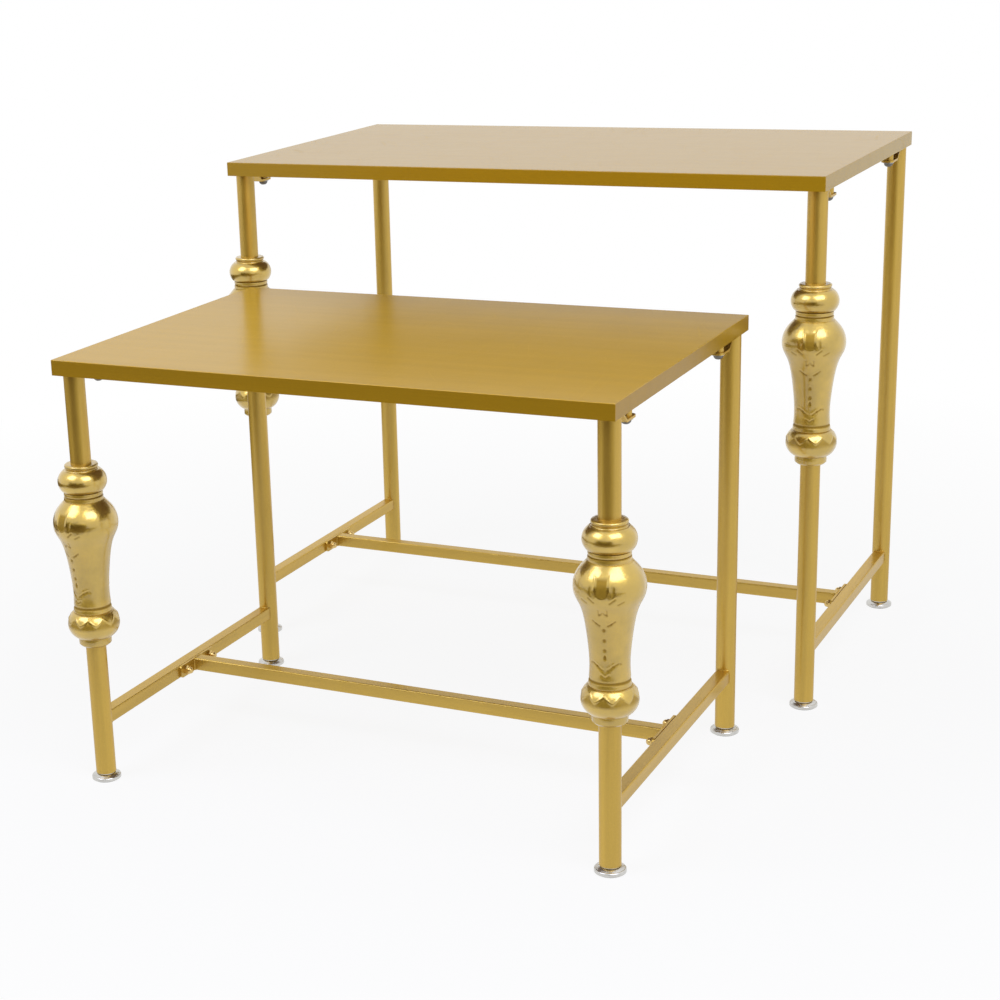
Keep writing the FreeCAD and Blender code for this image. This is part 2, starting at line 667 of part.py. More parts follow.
def foot(table, corner):
    """Domed steel cup with a neck that meets the leg, and the stud that screws up into it."""
    shoulder = FOOT_HEIGHT - FOOT_NECK_HEIGHT
    rim_top = FOOT_EDGE_HEIGHT + FOOT_EDGE_RADIUS
    corner_shift = FOOT_EDGE_RADIUS * (1.0 - sqrt(0.5))
    dome_radius = (FOOT_NECK_RADIUS + FOOT_RADIUS - FOOT_EDGE_RADIUS) / 2.0
    dome_height = rim_top + (shoulder - rim_top) * FOOT_DOME_SHARE
    cup_edges = lines([
        (FOOT_RADIUS, FOOT_EDGE_HEIGHT),
        (FOOT_RADIUS, FOOT_SKIRT_LIFT),
        (PAD_RADIUS + PAD_FIT, FOOT_SKIRT_LIFT),
        (PAD_RADIUS + PAD_FIT, PAD_THICKNESS),
        (0.0, PAD_THICKNESS),
        (0.0, FOOT_HEIGHT),
        (FOOT_NECK_RADIUS, FOOT_HEIGHT),
        (FOOT_NECK_RADIUS, shoulder),
    ])
    cup_edges.append(arc(
        (FOOT_NECK_RADIUS, shoulder),
        (dome_radius, dome_height),
        (FOOT_RADIUS - FOOT_EDGE_RADIUS, rim_top),
    ))
    cup_edges.append(arc(
        (FOOT_RADIUS - FOOT_EDGE_RADIUS, rim_top),
        (FOOT_RADIUS - corner_shift, rim_top - corner_shift),
        (FOOT_RADIUS, FOOT_EDGE_HEIGHT),
    ))
    stud = rod(STUD_RADIUS, STUD_LENGTH, Vector(0.0, 0.0, FOOT_HEIGHT))
    whole = lathe(cup_edges).fuse(stud).removeSplitter()
    whole.translate(table.leg_axis(corner))
    return whole


def foot_pad(table, corner):
    """Soft disc in the cup that meets the floor."""
    return rod(PAD_RADIUS, PAD_THICKNESS, table.leg_axis(corner))


# ---- assembly ----

def build_table(table):
    """Every node of one table, by name, each as its list of solids."""
    fronts = [corner for corner in CORNERS if corner.end < 0]
    nodes = {
        "top_panel": [top_panel(table)],
        "top_core": [top_core(table)],
        "panel_inserts": [panel_insert(table, corner) for corner in CORNERS],
        "leg_top_caps": [leg_top_cap(table, corner) for corner in CORNERS],
        "foot_bushes": [foot_bush(table, corner) for corner in CORNERS],
        "leg_lugs": [leg_lug(table, corner) for corner in CORNERS],
        "lug_spacers": [lug_spacer(table, corner) for corner in CORNERS],
        "lug_washers": [lug_washer(table, corner) for corner in CORNERS],
        "lug_screws": [lug_screw(table, corner) for corner in CORNERS],
        "ornament_grub_screws": [ornament_grub(table, corner) for corner in fronts],
        "cross_stretcher": [cross_stretcher(table)],
        "stretcher_end_plates": [end_plate(table, side) for side in SIDES.values()],
        "stretcher_screws": [
            screw for side in SIDES.values() for screw in stretcher_screws(table, side)
        ],
        "rail_weld_nuts": [nut for side in SIDES.values() for nut in rail_nuts(table, side)],
    }
    for name, side in SIDES.items():
        nodes[f"{name}_side_rail"] = [side_rail(table, side)]
    for corner in CORNERS:
        nodes[f"{corner.name}_leg"] = [leg(table, corner)]
        nodes[f"{corner.name}_foot"] = [foot(table, corner)]
        nodes[f"{corner.name}_foot_pad"] = [foot_pad(table, corner)]
    for corner in fronts:
        nodes[f"{corner.name}_ornament"] = ornament(table, corner)
    return {f"{table.name}_{name}": solids for name, solids in nodes.items()}


def export(name, solids):
    """Writes one node's solids to its STEP file, after checking that each is sound."""
    for solid in solids:
        assert solid.isValid() and len(solid.Solids) == 1 and solid.Volume > 0.0, name
    shape = solids[0] if len(solids) == 1 else Part.makeCompound(solids)
    shape.exportStep(os.path.join("parts", f"{name}.step"))
    return shape.BoundBox


def main():
    os.makedirs("parts", exist_ok=True)
    overall = FreeCAD.BoundBox()
    count = 0
    for table in TABLES:
        for name, solids in build_table(table).items():
            overall.add(export(name, solids))
            count += 1
    print(count, "nodes; overall", overall)


main()
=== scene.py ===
"""Finishes, cast ornaments, weld beads and studio for a two-tier pair of gold display tables.

Metres and radians.  +Z is up, +X to the right, +Y to the back, and the origin is on the
floor at the middle of the pair.  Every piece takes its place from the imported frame.
"""

from __future__ import annotations

import logging
import math
from dataclasses import dataclass, field
from enum import Enum

import bpy
import numpy as np
from mathutils import Matrix, Vector


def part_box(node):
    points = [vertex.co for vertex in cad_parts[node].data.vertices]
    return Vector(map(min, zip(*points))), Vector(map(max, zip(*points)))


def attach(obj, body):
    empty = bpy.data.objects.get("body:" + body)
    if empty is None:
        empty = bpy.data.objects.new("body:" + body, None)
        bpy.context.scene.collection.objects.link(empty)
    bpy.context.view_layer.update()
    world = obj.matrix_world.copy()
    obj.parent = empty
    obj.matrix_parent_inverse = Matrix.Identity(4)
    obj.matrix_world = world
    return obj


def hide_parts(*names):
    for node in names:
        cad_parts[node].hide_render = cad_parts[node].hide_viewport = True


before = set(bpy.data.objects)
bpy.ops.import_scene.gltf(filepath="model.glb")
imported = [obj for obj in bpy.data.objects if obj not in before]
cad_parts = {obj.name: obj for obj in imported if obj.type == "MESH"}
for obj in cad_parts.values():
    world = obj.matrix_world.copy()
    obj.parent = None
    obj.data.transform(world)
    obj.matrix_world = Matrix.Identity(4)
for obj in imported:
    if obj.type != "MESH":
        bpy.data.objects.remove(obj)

LOG = logging.getLogger("display_tables")
MILLIMETRE = 0.001
WHOLE_TURN = 2.0 * math.pi

Colour = tuple[float, float, float]
Triple = tuple[float, float, float]
Pair = tuple[float, float]
Socket = bpy.types.NodeSocket


# --- named options ---

class Grain(Enum):
    """Direction in which a finish was drawn, brushed or rolled."""

    ALONG_X = (1.0, 0.0, 0.0)
    ALONG_Y = (0.0, 1.0, 0.0)
    ALONG_Z = (0.0, 0.0, 1.0)

    def factors(self, along: float, across: float) -> Triple:
        """What a pattern's three coordinates are multiplied by, along and across the grain."""
        return tuple(along if share else across for share in self.value)


class Tier(Enum):
    """The two tables, by the prefix of their nodes and the body they ride on."""

    TALL = "tall"
    SMALL = "small"

    @property
    def body(self) -> str:
        """Name of the body that the table's fixed pieces ride on."""
        return f"{self.value}_table"

    def node(self, name: str) -> str:
        """Full node name of one of the table's pieces."""
        return f"{self.value}_{name}"


class Corner(Enum):
    """A leg's corner, as (side, end): -1 is left or front, +1 is right or back."""

    FRONT_LEFT = (-1, -1)
    FRONT_RIGHT = (1, -1)
    BACK_LEFT = (-1, 1)
    BACK_RIGHT = (1, 1)

    @property
    def label(self) -> str:
        """The corner's words as they stand in a node's name."""
        return self.name.lower()


# --- shader nodes, and the groups that several finishes share ---

class NodeTree:
    """Short ways to add and join nodes in one shader tree."""

    def __init__(self, tree: bpy.types.NodeTree) -> None:
        """Keeps the tree that nodes go into."""
        self.tree = tree

    def add(self, kind: str, **settings: object) -> bpy.types.Node:
        """Adds a node.

        Args:
            kind: Blender's type name of the node.
            **settings: plain properties to set on it.

        Returns:
            The new node.
        """
        node = self.tree.nodes.new(kind)
        for name, value in settings.items():
            setattr(node, name, value)
        return node

    def feed(self, node: bpy.types.Node, values: dict[str | int, object]) -> None:
        """Puts constants on a node's inputs, or links outputs to them.

        Args:
            node: the node to feed.
            values: a number, colour, vector or output socket for each input, by name or number.
        """
        for key, value in values.items():
            if isinstance(value, Socket):
                self.tree.links.new(value, node.inputs[key])
            else:
                node.inputs[key].default_value = value

    def run(
        self, kind: str, values: dict[str | int, object], output: str | int = 0, **settings: object
    ) -> Socket:
        """Adds a node, feeds it and hands over one of its outputs.

        Args:
            kind: Blender's type name of the node.
            values: what goes to each input.
            output: name or number of the output.
            **settings: plain properties to set on the node.

        Returns:
            The output's socket.
        """
        node = self.add(kind, **settings)
        self.feed(node, values)
        return node.outputs[output]

    def math(self, operation: str, *terms: object, clamp: bool = False) -> Socket:
        """The answer of a sum on numbers or sockets, held between 0 and 1 if it is clamped."""
        return self.run("ShaderNodeMath", dict(enumerate(terms)), operation=operation, use_clamp=clamp)

    def stretch(self, vector: Socket, factors: object) -> Socket:
        """A vector multiplied by three factors, or by a socket that gives them."""
        return self.run("ShaderNodeVectorMath", {0: vector, 1: factors}, operation="MULTIPLY")

    def spread(self, value: Socket, span: Pair, answer: Pair = (0.0, 1.0)) -> Socket:
        """A value's span mapped onto the answer's, held at both ends."""
        ends = {"From Min": span[0], "From Max": span[1], "To Min": answer[0], "To Max": answer[1]}
        return self.run("ShaderNodeMapRange", {"Value": value, **ends}, "Result", clamp=True)

    def blend(self, share: object, first: object, second: object, mode: str = "MIX") -> Socket:
        """Two colours mixed, where the share is the second one's."""
        values = {"Factor": share, "A": first, "B": second}
        return self.run("ShaderNodeMix", values, "Result", data_type="RGBA", blend_type=mode)

    def noise(self, place: Socket, scale: float, detail: float = 2.0) -> Socket:
        """Noise from 0 to 1, by its waves per metre and its layers of finer noise."""
        return self.run("ShaderNodeTexNoise", {"Vector": place, "Scale": scale, "Detail": detail}, "Fac")

    def cells(self, place: Socket, scale: float, feature: str, output: str) -> Socket:
        """A pattern of random cells, by the number of them to a metre."""
        return self.run("ShaderNodeTexVoronoi", {"Vector": place, "Scale": scale}, output, feature=feature)

    def chips(self, place: Socket, scale: float) -> Socket:
        """A random value from 0 to 1 for each cell of a pattern."""
        tones = self.cells(place, scale, "F1", "Color")
        return self.run("ShaderNodeSeparateColor", {"Color": tones}, "Red")

    def mix_shaders(self, share: Socket, first: Socket, second: Socket) -> Socket:
        """Two shaders mixed, where the share is the second one's."""
        return self.run("ShaderNodeMixShader", {0: share, 1: first, 2: second})


class SharedGroup:
    """A shader group built the first time that a finish asks for it."""

    name = ""
    takes: tuple[str, ...] = ("Place",)
    gives: tuple[str, ...] = ()

    @classmethod
    def tree(cls) -> bpy.types.NodeTree:
        """Finds the group, or builds it with vectors for inputs and numbers for outputs.

        Returns:
            The group's node tree.
        """
        made = bpy.data.node_groups.get(cls.name)
        if made is None:
            made = bpy.data.node_groups.new(cls.name, "ShaderNodeTree")
            for label in cls.takes:
                made.interface.new_socket(label, in_out="INPUT", socket_type="NodeSocketVector")
            for label in cls.gives:
                made.interface.new_socket(label, in_out="OUTPUT", socket_type="NodeSocketFloat")
            nodes = NodeTree(made)
            source = nodes.add("NodeGroupInput")
            results = cls.build(nodes, *(source.outputs[label] for label in cls.takes))
            nodes.feed(nodes.add("NodeGroupOutput"), dict(zip(cls.gives, results)))
        return made

    @classmethod
    def build(cls, nodes: NodeTree, *inputs: Socket) -> tuple[Socket, ...]:
        """Works out the group's outputs from its inputs, both in the order of their names."""
        raise NotImplementedError

    @classmethod
    def use(cls, nodes: NodeTree, *values: object) -> list[Socket]:
        """Puts the group into a material.

        Args:
            nodes: the material's tree.
            *values: what goes to each input, in order.

        Returns:
            The group's outputs, in order.
        """
        node = nodes.add("ShaderNodeGroup", node_tree=cls.tree())
        nodes.feed(node, dict(zip(cls.takes, values)))
        return [node.outputs[label] for label in cls.gives]


class DrawnGrain(SharedGroup):
    """Fine parallel lines left by drawing, rolling or brushing, with broader bands among them."""

    name = "drawn_grain"
    takes = ("Place", "Stretch")
    gives = ("Lines", "Bands")
    line_scale = 900.0
    band_scale = 60.0
    band_detail = 3.0

    @classmethod
    def build(cls, nodes: NodeTree, place: Socket, factors: Socket) -> tuple[Socket, ...]:
        """Noise on coordinates that are squeezed along the grain, at two scales."""
        pulled = nodes.stretch(place, factors)
        return nodes.noise(pulled, cls.line_scale), nodes.noise(pulled, cls.band_scale, cls.band_detail)


class HandlingMarks(SharedGroup):
    """Cloudy smears and fine scratches that handling leaves on a glossy coat."""

    name = "handling_marks"
    gives = ("Smears", "Scratches")
    smear_scale = 14.0
    smear_detail = 4.0
    smear_range = (0.42, 0.68)
    scratch_scale = 42.0
    scratch_stretch = (1.0, 0.16, 0.5)
    scratch_width = 0.012

    @classmethod
    def build(cls, nodes: NodeTree, place: Socket) -> tuple[Socket, ...]:
        """Soft noise for the smears, and the thin borders of stretched cells for the scratches.

        Args:
            nodes: the group's tree.
            place: where to read the patterns.

        Returns:
            The smears and the scratches.
        """
        clouds = nodes.noise(place, cls.smear_scale, cls.smear_detail)
        stretched = nodes.stretch(place, cls.scratch_stretch)
        borders = nodes.cells(stretched, cls.scratch_scale, "DISTANCE_TO_EDGE", "Distance")
        scratches = nodes.spread(borders, (0.0, cls.scratch_width), (1.0, 0.0))
        return nodes.spread(clouds, cls.smear_range), scratches


class PaintFlake(SharedGroup):
    """Tiny plates of a metallic paint, each a little lighter or darker than the next."""

    name = "paint_flake"
    gives = ("Flake", "Orange Peel")
    flake_scale = 2600.0
    peel_scale = 420.0

    @classmethod
    def build(cls, nodes: NodeTree, place: Socket) -> tuple[Socket, ...]:
        """A random value for each fine cell, and the soft waviness of sprayed paint."""
        return nodes.chips(place, cls.flake_scale), nodes.noise(place, cls.peel_scale)


# --- finishes ---

class Bench:
    """A new material with its main shader, its output and Object coordinates at hand."""

    def __init__(self, name: str) -> None:
        """Makes the material and its standing nodes.

        Args:
            name: name of the material.
        """
        self.made = bpy.data.materials.new(name)
        self.made.use_nodes = True
        self.made.node_tree.nodes.clear()
        self.nodes = NodeTree(self.made.node_tree)
        self.shader = self.nodes.add("ShaderNodeBsdfPrincipled")
        self.output = self.nodes.add("ShaderNodeOutputMaterial")
        self.nodes.feed(self.output, {"Surface": self.shader.outputs["BSDF"]})
        self.place = self.nodes.add("ShaderNodeTexCoord").outputs["Object"]

    def set(self, **values: object) -> None:
        """Sets or links inputs of the main shader, with spaces as underscores in their names."""
        self.nodes.feed(self.shader, {label.replace("_", " "): value for label, value in values.items()})

    def bump(self, height: Socket, depth: float, normal: Socket | None = None) -> Socket:
        """Turns a height into a normal.

        Args:
            height: socket of the height, 0 to 1.
            depth: how deep the whole range is, in metres.
            normal: normal to start from, if not the surface's own.

        Returns:
            The new normal's socket.
        """
        values = {"Strength": 1.0, "Distance": depth, "Height": height}
        if normal is not None:
            values["Normal"] = normal
        return self.nodes.run("ShaderNodeBump", values, "Normal")


def opaque(colour: Colour) -> tuple[float, float, float, float]:
    """The colour with full cover."""
    return (*colour, 1.0)


def shaded(colour: Colour, share: float) -> tuple[float, float, float, float]:
    """The colour made lighter or darker by a share, with full cover."""
    return opaque(tuple(channel * share for channel in colour))


@dataclass(frozen=True)
class Finish:
    """Anything that can be laid on a bench as a material of its own name."""

    name: str

    def material(self) -> bpy.types.Material:
        """Makes the material.

        Returns:
            The material, with the finish laid on it.
        """
        bench = Bench(self.name)
        self.lay(bench)
        return bench.made

    def lay(self, bench: Bench) -> None:
        """Lays the finish on a bench."""
        raise NotImplementedError


@dataclass(frozen=True)
class GoldPaint(Finish):
    """Metallic gold paint under a clear coat, on drawn tube or folded sheet."""

    colour: Colour
    grain: Grain
    edge_tint: Colour = (0.86, 0.74, 0.48)
    metallic: float = 0.92
    roughness: float = 0.36
    line_roughness: float = 0.08
    smear_roughness: float = 0.06
    coat: float = 0.60
    coat_roughness: float = 0.17
    coat_index: float = 1.5
    scratched_coat: float = 0.75
    band_range: Pair = (0.3, 0.7)
    band_depth: float = 0.10
    line_range: Pair = (0.25, 0.75)
    line_depth: float = 0.10
    line_tone: float = 0.55
    line_height: float = 0.000012
    squeeze: float = 0.02
    flake_range: Pair = (0.8, 1.0)
    flake_share: float = 0.35
    flake_tone: float = 1.45
    peel_height: float = 0.00002

    def lay(self, bench: Bench) -> None:
        """Grain lines in the colour and roughness, flakes, and smears and scratches in the coat.

        Args:
            bench: where the finish is laid.
        """
        nodes, place = bench.nodes, bench.place
        fine, broad = DrawnGrain.use(nodes, place, self.grain.factors(self.squeeze, 1.0))
        smears, scratches = HandlingMarks.use(nodes, place)
        flakes, peel = PaintFlake.use(nodes, place)
        bands = nodes.spread(broad, self.band_range)
        lines = nodes.spread(fine, self.line_range)
        low, high = shaded(self.colour, 1.0 - self.band_depth), shaded(self.colour, 1.0 + self.band_depth)
        banded = nodes.blend(bands, low, high)
        drawn = nodes.math("MULTIPLY", lines, self.line_depth)
        lined = nodes.blend(drawn, banded, shaded(self.colour, self.line_tone))
        bright = nodes.spread(flakes, self.flake_range, (0.0, self.flake_share))
        flaked = nodes.blend(bright, lined, shaded(self.colour, self.flake_tone))
        rough = nodes.math("MULTIPLY_ADD", lines, self.line_roughness, self.roughness)
        bench.set(
            Base_Color=self.edged(bench, flaked),
            Metallic=self.metallic,
            Roughness=nodes.math("MULTIPLY_ADD", smears, self.smear_roughness, rough),
            Specular_Tint=opaque(self.edge_tint),
            Coat_Weight=nodes.spread(scratches, (0.0, 1.0), (self.coat, self.coat * self.scratched_coat)),
            Coat_Roughness=self.coat_roughness,
            Coat_IOR=self.coat_index,
            Normal=bench.bump(fine, self.line_height, bench.bump(peel, self.peel_height)),
        )

    def edged(self, bench: Bench, tone: Socket) -> Socket:
        """The tone as it is, because a tube has no folded edge."""
        return tone


@dataclass(frozen=True)
class TopPaint(GoldPaint):
    """Duller paint of one table's top, with painted shade on its folded edges: a tint for how the light falls
    on them.
    """

    grain: Grain = Grain.ALONG_X
    roughness: float = 0.60
    coat_roughness: float = 0.20
    band_depth: float = 0.03
    line_depth: float = 0.05
    squeeze: float = 0.01
    tier: Tier = Tier.TALL
    # Tint of the painted shade on the folded edges; white leaves them as they are.
    edge_shade_tint: Colour = (1.0, 1.0, 1.0)
    fold_start: float = 0.0003
    fold_end: float = 0.0008

    def edged(self, bench: Bench, tone: Socket) -> Socket:
        """The tone multiplied by the tint of the edges' painted shade, from just below the flat of the top.

        Args:
            bench: where the paint is laid.
            tone: the paint's colour.

        Returns:
            The colour with the edges' painted shade.
        """
        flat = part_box(self.tier.node("top_panel"))[1].z
        height = bench.nodes.run("ShaderNodeSeparateXYZ", {0: bench.place}, "Z")
        # Painted shade: below the flat of the top, the folded edges get their own tint, darker on the small
        # top and a deeper gold on the tall one, for how the light falls on them.
        painted_edge_shade = bench.nodes.spread(height, (flat - self.fold_end, flat - self.fold_start), (1.0, 0.0))
        return bench.nodes.blend(painted_edge_shade, tone, opaque(self.edge_shade_tint), "MULTIPLY")


@dataclass(frozen=True)
class CastGold(Finish):
    """Cast and gilded metal: bright on its high places, brown in what is cut into it.

    It reads two attributes of the piece: relief, the height of what is chased with painted shade taken off it
    in the turned grooves, and polish.
    """

    name: str = "cast_gold"
    colour: Colour = (0.60, 0.405, 0.060)
    # Brown of the chased hollows, which the turned grooves and the cove also take as painted shade.
    hollow: Colour = (0.34, 0.21, 0.025)
    hollow_range: Pair = (-0.55, -0.05)
    hollow_cover: float = 0.85
    hollow_roughness: float = 0.3
    raised_range: Pair = (0.25, 1.0)
    raised_cover: float = 0.45
    raised_tone: float = 1.3
    roughness: float = 0.40
    cloud_roughness: float = 0.08
    smear_roughness: float = 0.05
    polish: float = 0.28
    coat: float = 0.95
    hollow_coat: float = 0.1
    coat_roughness: float = 0.16
    coat_index: float = 1.8
    skin_scale: float = 260.0
    skin_detail: float = 5.0
    skin_height: float = 0.00006
    dent_scale: float = 120.0
    dent_detail: float = 1.5
    dent_depth: float = 0.0005
    cloud_scale: float = 38.0
    cloud_detail: float = 4.0
    cloud_range: Pair = (0.35, 0.7)
    cloud_tones: Pair = (0.86, 1.08)

    def lay(self, bench: Bench) -> None:
        """Gold that darkens where the relief is low, with clouds of tone and a cast skin.

        Args:
            bench: where the finish is laid.
        """
        nodes, place = bench.nodes, bench.place
        relief, gloss = (
            nodes.run("ShaderNodeAttribute", {}, "Fac", attribute_name=label)
            for label in ("relief", "polish")
        )
        smears, _ = HandlingMarks.use(nodes, place)
        clouds = nodes.spread(nodes.noise(place, self.cloud_scale, self.cloud_detail), self.cloud_range)
        sunk = nodes.spread(relief, self.hollow_range, (1.0, 0.0))
        proud = nodes.spread(relief, self.raised_range, (0.0, self.raised_cover))
        body = nodes.blend(clouds, *(shaded(self.colour, share) for share in self.cloud_tones))
        raised = nodes.blend(proud, body, shaded(self.colour, self.raised_tone))
        covered = nodes.math("MULTIPLY", sunk, self.hollow_cover)
        plain = nodes.spread(clouds, (0.0, 1.0), (self.roughness, self.roughness + self.cloud_roughness))
        polished = {"Factor": gloss, "A": plain, "B": self.polish}
        shine = nodes.run("ShaderNodeMix", polished, "Result", data_type="FLOAT")
        rough = nodes.math("MULTIPLY_ADD", sunk, self.hollow_roughness, shine)
        dented = bench.bump(nodes.noise(place, self.dent_scale, self.dent_detail), self.dent_depth)
        skin = nodes.noise(place, self.skin_scale, self.skin_detail)
        bench.set(
            Base_Color=nodes.blend(covered, raised, opaque(self.hollow)),
            Metallic=1.0,
            Roughness=nodes.math("MULTIPLY_ADD", smears, self.smear_roughness, rough),
            Coat_Weight=nodes.spread(sunk, (0.0, 1.0), (self.coat, self.hollow_coat)),
            Coat_Roughness=self.coat_roughness,
            Coat_IOR=self.coat_index,
            Normal=bench.bump(skin, self.skin_height, dented),
        )


@dataclass(frozen=True)
class PlatedMetal(Finish):
    """Plated steel: nickel, zinc or a gilt wash, with turning or rolling lines."""

    colour: Colour
    roughness: float
    grain: Grain = Grain.ALONG_Z
    squeeze: float = 0.05
    cloud_scale: float = 90.0
    cloud_detail: float = 4.0
    cloud_range: Pair = (0.35, 0.7)
    cloud_tones: Pair = (0.88, 1.06)
    cloud_roughness: float = 0.1
    smear_roughness: float = 0.08
    line_range: Pair = (0.5, 0.9)
    line_cover: float = 0.35
    line_tone: float = 0.6
    line_height: float = 0.00001

    def lay(self, bench: Bench) -> None:
        """Metal with cloudy plating, fine lines round its axis and a few smears.

        Args:
            bench: where the finish is laid.
        """
        nodes, place = bench.nodes, bench.place
        fine, _ = DrawnGrain.use(nodes, place, self.grain.factors(1.0, self.squeeze))
        smears, _ = HandlingMarks.use(nodes, place)
        clouds = nodes.spread(nodes.noise(place, self.cloud_scale, self.cloud_detail), self.cloud_range)
        tone = nodes.blend(clouds, *(shaded(self.colour, share) for share in self.cloud_tones))
        lines = nodes.spread(fine, self.line_range, (0.0, self.line_cover))
        rough = nodes.spread(clouds, (0.0, 1.0), (self.roughness, self.roughness + self.cloud_roughness))
        bench.set(
            Base_Color=nodes.blend(lines, tone, shaded(self.colour, self.line_tone)),
            Metallic=1.0,
            Roughness=nodes.math("MULTIPLY_ADD", smears, self.smear_roughness, rough),
            Normal=bench.bump(fine, self.line_height),
        )


@dataclass(frozen=True)
class FibreBoard(Finish):
    """Pressed board that fills the tops: pale brown with flecks of bark."""

    name: str = "board"
    colour: Colour = (0.30, 0.19, 0.10)
    fleck_scale: float = 700.0
    fleck_stretch: Triple = (1.0, 2.4, 1.0)
    fleck_tones: Pair = (0.72, 1.28)
    fibre_scale: float = 240.0
    fibre_detail: float = 5.0
    fibre_range: Pair = (0.3, 0.8)
    fibre_cover: float = 0.6
    fibre_tone: float = 0.5
    fibre_height: float = 0.00015
    rough_range: Pair = (0.2, 0.8)
    roughness: Pair = (0.72, 0.9)

    def lay(self, bench: Bench) -> None:
        """Matt board with chips of two tones and a fibrous face.

        Args:
            bench: where the finish is laid.
        """
        nodes = bench.nodes
        flecks = nodes.chips(nodes.stretch(bench.place, self.fleck_stretch), self.fleck_scale)
        fibres = nodes.noise(bench.place, self.fibre_scale, self.fibre_detail)
        tone = nodes.blend(flecks, *(shaded(self.colour, share) for share in self.fleck_tones))
        cover = nodes.spread(fibres, self.fibre_range, (0.0, self.fibre_cover))
        bench.set(
            Base_Color=nodes.blend(cover, tone, shaded(self.colour, self.fibre_tone)),
            Roughness=nodes.spread(fibres, self.rough_range, self.roughness),
            Normal=bench.bump(fibres, self.fibre_height),
        )


@dataclass(frozen=True)
class MouldedPlastic(Finish):
    """Moulded plastic with a fine spark-eroded grain."""

    colour: Colour
    roughness: float = 0.5
    roughness_spread: float = 0.18
    spark_scale: float = 1500.0
    spark_range: Pair = (0.2, 0.8)
    spark_height: float = 0.00005
    cloud_scale: float = 60.0
    cloud_tones: Pair = (0.82, 1.2)
    detail: float = 3.0

    def lay(self, bench: Bench) -> None:
        """Plastic with a fine texture and slight clouds of tone.

        Args:
            bench: where the finish is laid.
        """
        nodes, place = bench.nodes, bench.place
        fine = nodes.noise(place, self.spark_scale, self.detail)
        clouds = nodes.noise(place, self.cloud_scale, self.detail)
        rough = (self.roughness, self.roughness + self.roughness_spread)
        bench.set(
            Base_Color=nodes.blend(clouds, *(shaded(self.colour, share) for share in self.cloud_tones)),
            Roughness=nodes.spread(fine, self.spark_range, rough),
            Normal=bench.bump(fine, self.spark_height),
        )


TUBE_GOLD: Colour = (0.585, 0.384, 0.066)

FINISHES: dict[str, Finish] = {
    "tall_top": TopPaint(
        "tall_gold_top",
        (0.415, 0.240, 0.020),
        tier=Tier.TALL,
        coat=0.83,
        edge_tint=(0.80, 0.76, 0.45),
        # Painted shade on the tall top's folded edges.
        edge_shade_tint=(1.08, 1.14, 0.45),
    ),
    "small_top": TopPaint(
        "small_gold_top",
        (0.56, 0.348, 0.027),
        tier=Tier.SMALL,
        coat=0.66,
        edge_tint=(0.62, 0.53, 0.38),
        # Painted shade on the small top's folded edges.
        edge_shade_tint=(0.78, 0.74, 0.42),
    ),
    "upright": GoldPaint("gold_tube_upright", TUBE_GOLD, Grain.ALONG_Z),
    "crosswise": GoldPaint("gold_tube_crosswise", TUBE_GOLD, Grain.ALONG_X),
    "fore_and_aft": GoldPaint("gold_tube_fore_and_aft", TUBE_GOLD, Grain.ALONG_Y),
    "cast": CastGold(),
    "gilt": PlatedMetal("gilt_screw", (0.74, 0.53, 0.20), 0.22),
    "nickel": PlatedMetal("nickel", (0.66, 0.65, 0.62), 0.18),
    "zinc": PlatedMetal("zinc", (0.55, 0.56, 0.57), 0.34),
    "dark_steel": PlatedMetal("dark_steel", (0.20, 0.19, 0.175), 0.38),
    "board": FibreBoard(),
    "black_plastic": MouldedPlastic("black_plastic", (0.018, 0.018, 0.019)),
    "grey_nylon": MouldedPlastic("grey_nylon", (0.24, 0.24, 0.235)),
}

NODE_ENDINGS: dict[str, tuple[str, ...]] = {
    "tall_top": ("tall_top_panel",),
    "small_top": ("small_top_panel",),
    "upright": ("leg", "lug_spacers"),
    "crosswise": ("cross_stretcher",),
    "fore_and_aft": ("side_rail", "leg_lugs", "stretcher_end_plates"),
    "cast": ("ornament",),
    "gilt": ("stretcher_screws",),
    "nickel": ("foot",),
    "zinc": ("panel_inserts", "foot_bushes", "lug_washers"),
    "dark_steel": ("lug_screws", "ornament_grub_screws", "rail_weld_nuts"),
    "board": ("top_core",),
    "black_plastic": ("leg_top_caps",),
    "grey_nylon": ("foot_pad",),
}


class Finisher:
    """Makes each finish once and gives it to CAD nodes and new pieces."""

    def __init__(self) -> None:
        """Starts with nothing made."""
        self.made: dict[str, bpy.types.Material] = {}

    def dress(self, piece: bpy.types.Object, key: str) -> None:
        """Puts a finish on every slot of a piece, and gives it a slot if it has none.

        Args:
            piece: the piece.
            key: the finish's name in FINISHES.
        """
        if key not in self.made:
            self.made[key] = FINISHES[key].material()
        if not piece.material_slots:
            piece.data.materials.append(None)
        for slot in piece.material_slots:
            slot.material = self.made[key]

    def dress_frame(self) -> None:
        """Gives every CAD node the finish whose ending its name has."""
        for name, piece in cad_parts.items():
            key = next(key for key, endings in NODE_ENDINGS.items() if name.endswith(endings))
            self.dress(piece, key)
            LOG.info("dressed %s", name)


# --- surfaces ---

CREASE = math.radians(38.0)


